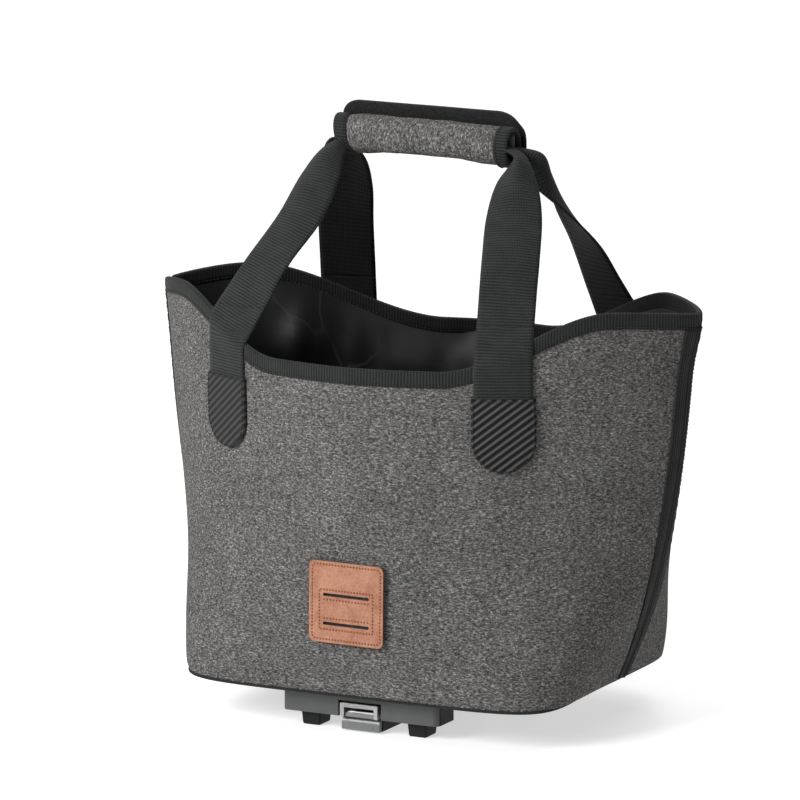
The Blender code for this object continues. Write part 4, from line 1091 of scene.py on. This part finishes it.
def make_grip():
    """Make the padded sleeve and the tape that binds its open ends, and return the sleeve."""
    half = GRIP_HALF_LENGTH
    outer = [(x, -0.0012 * (abs(x) / half) ** 8) for x in np.linspace(-half, half, 45)]
    inner = [(x, -0.0040) for x in np.linspace(half, -half, 12)]
    cover = grip_shell("grip_cover", outer + inner, "grip_melange", lumps=0.0009, hollow=0.0048)
    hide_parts("grip_wrap")
    for end in (LEFT, RIGHT):
        near = half - 0.0012
        far = half + BINDING_REACH
        profile = [(near, -0.0009), (near + 0.001, -0.0002), (near + 0.005, -0.0004), (far - 0.002, -0.0002)]
        profile += [(far - 0.0006, -0.0006), (far, -0.0020), (far - 0.0008, -0.0036), (far - 0.003, -0.0042)]
        profile += [(near + 0.002, -0.0044)]
        profile = [(end * x, grow) for x, grow in profile]
        name = f"grip_end_{END_NAMES[end]}"
        binding = grip_shell(name, profile, "black_tape")
        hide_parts(f"grip_binding_{END_NAMES[end]}")
        angles = np.linspace(0, 2 * math.pi, 60)
        place = end * (near + 0.0022)
        path = np.array([grip_point(place, a, GRIP_RADIUS_Y, GRIP_RADIUS_Z) for a in angles])
        away = path - np.array([0, 0, GRIP_Z])
        away[:, 0] = 0
        stitch_row(f"grip_stitches_{END_NAMES[end]}", path, away, "handle", pitch=0.0026)
    return cover


def leaf_path():
    """Return the section of the leaf that wraps the back of the grip and stands above it."""
    clearance = 0.0034
    points = []
    for degrees in (-44, -20, 5, 30, 52):
        angle = math.radians(degrees)
        points.append(((GRIP_RADIUS_Y + clearance) * math.cos(angle),
                       GRIP_Z + (GRIP_RADIUS_Z + clearance) * math.sin(angle)))
    points += [(0.0090, 0.4175), (0.0080, 0.4210), (0.0074, 0.4232)]
    return spline([(0.0, y, z) for y, z in points], 30)


def make_leaf():
    """Make the hook-and-loop leaf behind and above the grip."""
    path = leaf_path()
    top = path[-1, 2]
    rows = []
    for _, y, z in path:
        reach = []
        for corner in (0.014, 0.017):
            over = max(z - (top - corner), 0.0)
            reach.append(0.070 - corner + math.sqrt(max(corner ** 2 - over ** 2, 0.0)))
        xs = np.linspace(-reach[0], reach[1], 60)
        rows.append([(x, y + 0.0005 * noise.noise(Vector((x * 40, y * 30, z * 40))), z - GRIP_TILT * x * 0.8)
                     for x in xs])
    leaf = grid_piece("grip_leaf", np.array(rows), "black_loop", "flap", (0, 0, GRIP_Z))
    thicken(leaf, 0.0034, 0.0, 1)
    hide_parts("grip_flap")
    return leaf


# ---------------------------------------------------------------- label

def rounded_square(half_x, half_z, corner, centre_z, steps=8):
    """Return the outline of a square with round corners, in the label's plane."""
    outline = []
    for quarter, (sx, sz) in enumerate(((1, 1), (-1, 1), (-1, -1), (1, -1))):
        for angle in np.linspace(quarter * math.pi / 2, (quarter + 1) * math.pi / 2, steps):
            outline.append((sx * (half_x - corner) + corner * math.cos(angle),
                            centre_z + sz * (half_z - corner) + corner * math.sin(angle)))
    return outline


def crooked(x, z):
    """Turn a place on the label by the small angle at which it is sewn on."""
    return (x * math.cos(LABEL_TURN) - z * math.sin(LABEL_TURN),
            x * math.sin(LABEL_TURN) + z * math.cos(LABEL_TURN))


def make_label():
    """Make the leather label with its two slots, cut edges and stitching."""
    low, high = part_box("light_patch")
    front, back = low.y, high.y
    centre_z = (low.z + high.z) / 2
    half = (high.x - low.x) / 2
    slot_zs = [centre_z + offset for offset in SLOT_OFFSETS_Z]
    edge = 0.0002
    curve = bpy.data.curves.new("leather_label", "CURVE")
    curve.dimensions = "2D"
    curve.fill_mode = "BOTH"
    curve.extrude = (back - front) / 2 - edge
    curve.bevel_depth = edge
    curve.bevel_resolution = 3
    outlines = [rounded_square(half - edge, half - edge, LABEL_CORNER, 0.0)]
    outlines += [rounded_square(SLOT_HALF_LENGTH + edge, SLOT_HALF_HEIGHT + edge, 0.0009, z - centre_z, 5)
                 for z in slot_zs]
    for outline in outlines:
        line = curve.splines.new("POLY")
        line.use_cyclic_u = True
        line.points.add(len(outline) - 1)
        for knot, (x, z) in zip(line.points, outline):
            knot.co = (x, z, 0.0, 1.0)
    flat = bpy.data.objects.new("flat_label", curve)
    bpy.context.scene.collection.objects.link(flat)
    bpy.context.view_layer.update()
    mesh = bpy.data.meshes.new_from_object(flat.evaluated_get(bpy.context.evaluated_depsgraph_get()))
    bpy.data.objects.remove(flat)
    for vertex in mesh.vertices:
        x, z, y = vertex.co
        x, z = crooked(x, z)
        vertex.co = (x, (front + back) / 2 - y, centre_z + z)
    mesh.update()
    mesh.materials.clear()
    label = finish_piece("leather_label", mesh, "tan_leather", "root")
    # Faces that do not face front or back take the dark edge finish: partly the edge's own colour, partly
    # painted shade.
    mesh.materials.append(FINISHES["leather_edge_and_shade"])
    for face in mesh.polygons:
        face.use_smooth = False
        if abs(face.normal.y) < 0.9:
            face.material_index = 1
    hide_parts("light_patch")

    def sew(name, outline, closed=True):
        flat = [crooked(x, z - centre_z) for x, z in outline + (outline[:1] if closed else [])]
        path = np.array([(x, front, centre_z + z) for x, z in flat])
        facing = np.tile([[0.0, -1.0, 0.0]], (len(path), 1))
        return stitch_row(name, path, facing, "root", "brown_thread", 0.0023, 0.0014, 0.00062)

    inner_top = centre_z + 0.0085
    inner_bottom = centre_z - 0.0190
    box = [(-0.0205, inner_top), (-0.0205, inner_bottom), (0.0205, inner_bottom), (0.0205, inner_top)]
    border = rounded_square(half - 0.0024, half - 0.0024, 0.0028, centre_z)
    sew("label_stitches_outer", border)
    sew("label_stitches_inner", box)
    for index, z in enumerate((slot_zs[0] - 0.0034, slot_zs[1] + 0.0036)):
        sew(f"label_stitches_slot_{index + 1}", [(-0.0180, z), (0.0180, z)], False)


# ---------------------------------------------------------------- adapter

def round_edges(piece, width, segments):
    """Round a piece's sharp edges and keep its faces flat."""
    rounding = piece.modifiers.new("rounding", "BEVEL")
    rounding.width = width
    rounding.segments = segments
    rounding.limit_method = "ANGLE"
    rounding.angle_limit = math.radians(35)
    piece.modifiers.new("flat_faces", "WEIGHTED_NORMAL")


def rounded_copy(node, name, finish, body, width, segments=3):
    """Make a piece with a node's shape and rounded edges."""
    source = bpy.data.objects[node]
    bm = bmesh.new()
    bm.from_mesh(source.data)
    bmesh.ops.remove_doubles(bm, verts=bm.verts, dist=1e-6)
    bmesh.ops.dissolve_limit(bm, angle_limit=math.radians(2), verts=bm.verts, edges=bm.edges)
    mesh = bpy.data.meshes.new(name)
    bm.to_mesh(mesh)
    bm.free()
    piece = finish_piece(name, mesh, finish, body)
    round_edges(piece, width, segments)
    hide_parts(node)
    return piece


def moulded_bar(name, profile, half_x, finish, body, width):
    """Make a bar along X with the given section of Y and Z, its edges rounded."""
    count = len(profile)
    vertices = [(x, y, z) for x in (-half_x, half_x) for y, z in profile]
    faces = [(i, (i + 1) % count, count + (i + 1) % count, count + i) for i in range(count)]
    faces += [tuple(range(count)), tuple(range(count, 2 * count))]
    mesh = bpy.data.meshes.new(name)
    mesh.from_pydata(vertices, [], faces)
    mend(mesh)
    piece = finish_piece(name, mesh, finish, body)
    round_edges(piece, width, 3)
    return piece


# Each moulding: its node, name, finish, body, edge radius and the radius's segments.
MOULDINGS = (
    ("adapter_rail", "rack_rail", "black_plastic", "root", 0.0004, 2),
    ("rail_spacer", "rail_rib", "black_plastic", "root", 0.0004, 2),
    ("latch_bail", "release_bail", "silver_latch", "latch_lever", 0.0005),
    ("latch_bolt", "catch_bolt", "black_plastic", "latch_bolt_body", 0.0003, 2),
    ("clamp_plate", "inner_plate", "black_plastic", "root", 0.0005, 2),
)


def make_adapter():
    """Make the adapter's pieces with moulded edges."""
    head = rounded_copy("adapter_plate", "adapter_head", "grey_plastic", "root", 0.0006)
    head.data.materials.append(FINISHES["black_plastic"])
    for face in head.data.polygons:
        face.material_index = int(face.normal.y > -0.5)
    for moulding in MOULDINGS:
        rounded_copy(*moulding)
    for end in (LEFT, RIGHT):
        for place in ("front", "rear"):
            name = f"foot_{place}_{END_NAMES[end]}"
            rounded_copy(name, f"rubber_{name}", "black_rubber", "root", 0.0004, 2)
    spring = rounded_copy("latch_spring", "bolt_spring", "steel", "root", 0.0001, 1)
    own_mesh(spring)
    nose = [(-0.0952, 0.0012), (-0.0986, 0.0012), (-0.0986, 0.0062), (-0.0980, 0.0084), (-0.0966, 0.0097),
            (-0.0952, 0.0099)]
    moulded_bar("rail_nose", nose, 0.0148, "nose_plastic", "root", 0.0004)
    plate = [(-0.1006, 0.0108), (-0.0994, 0.0108), (-0.0984, 0.0134), (-0.0994, 0.0137)]
    moulded_bar("latch_plate", plate, 0.0112, "grey_plastic", "latch_lever", 0.0002)


# The nodes that keep their shape, and their finishes.
KEPT = {
    "base_board": "black_plastic", "grip_core": "black_nylon", "light_loop": "black_nylon",
    "latch_pin": "steel",
}
KEPT.update({f"screw_{index}": "steel" for index in range(1, 5)})
KEPT.update({f"nut_{index}": "steel" for index in range(1, 5)})
KEPT.update({f"rail_screw_{index}": "steel" for index in (1, 2)})


def dress_nodes():
    """Give the kept nodes their finishes."""
    for node, finish in KEPT.items():
        part = bpy.data.objects[node]
        for slot in part.material_slots:
            slot.material = FINISHES[finish]


# ---------------------------------------------------------------- scene

def area_light(name, place, target, size, energy):
    """Add a soft square light that faces a point."""
    data = bpy.data.lights.new(name, "AREA")
    data.shape = "SQUARE"
    data.size = size
    data.energy = energy
    lamp = bpy.data.objects.new(name, data)
    bpy.context.scene.collection.objects.link(lamp)
    lamp.location = place
    lamp.rotation_euler = (Vector(target) - Vector(place)).to_track_quat("-Z", "Y").to_euler()


def make_studio():
    """Add the pale floor, the pale surroundings and the soft lights."""
    bpy.ops.mesh.primitive_plane_add(size=60, location=(0, 0, 0))
    floor = bpy.context.object
    floor.name = "floor"
    r = Recipe("floor_white", 0.3, Specular_IOR_Level=0.4, Emission_Strength=0.58)
    r.shader.inputs["Emission Color"].default_value = (1.0, 1.0, 1.0, 1.0)
    r.colour(r.ramp(r.noise(r.space(), 6), ((0.4, grey(0.63)), (0.6, grey(0.65)))))
    floor.data.materials.append(r.material)
    world = bpy.data.worlds.new("studio")
    bpy.context.scene.world = world
    world.use_nodes = True
    world.node_tree.nodes["Background"].inputs["Color"].default_value = (1.0, 1.0, 1.0, 1.0)
    world.node_tree.nodes["Background"].inputs["Strength"].default_value = 0.18
    area_light("key", (-1.1, -2.2, 1.5), (0, 0, 0.2), 1.3, 105)
    area_light("top", (0.2, 0.5, 2.4), (0, 0, 0.1), 2.2, 28)
    area_light("background", (-2.2, 4.5, 3.5), (-2.2, 4.5, 0), 5.0, 150)
    bpy.context.scene.view_settings.view_transform = "Standard"


def make_camera():
    """Add the camera at the photograph's angle."""
    level = math.cos(CAMERA_ELEVATION)
    back = Vector((math.sin(CAMERA_AZIMUTH) * level, -math.cos(CAMERA_AZIMUTH) * level,
                   math.sin(CAMERA_ELEVATION)))
    data = bpy.data.cameras.new("camera")
    data.sensor_width = 36.0
    data.lens = CAMERA_LENS
    data.shift_x, data.shift_y = CAMERA_SHIFT
    data.clip_end = 50
    camera = bpy.data.objects.new("camera", data)
    bpy.context.scene.collection.objects.link(camera)
    camera.location = Vector((0.0, 0.0, CAMERA_TARGET_Z)) + back * CAMERA_DISTANCE
    camera.rotation_euler = (-back).to_track_quat("-Z", "Y").to_euler()
    bpy.context.scene.camera = camera


make_camera()
make_studio()
walls = {side: make_wall(side) for side in (FRONT, REAR)}
rims = {side: make_rim_tape(side) for side in (FRONT, REAR)}
tapes = {end: make_end_tape(end) for end in (LEFT, RIGHT)}
bottom, piping = make_bottom()
lining = make_lining()
patches = {}
for side in (FRONT, REAR):
    patches[side] = []
    for end in (LEFT, RIGHT):
        make_strap(side, end)
        patches[side] += make_patch(side, end)
cover = make_grip()
leaf = make_leaf()
make_label()
make_adapter()
dress_nodes()
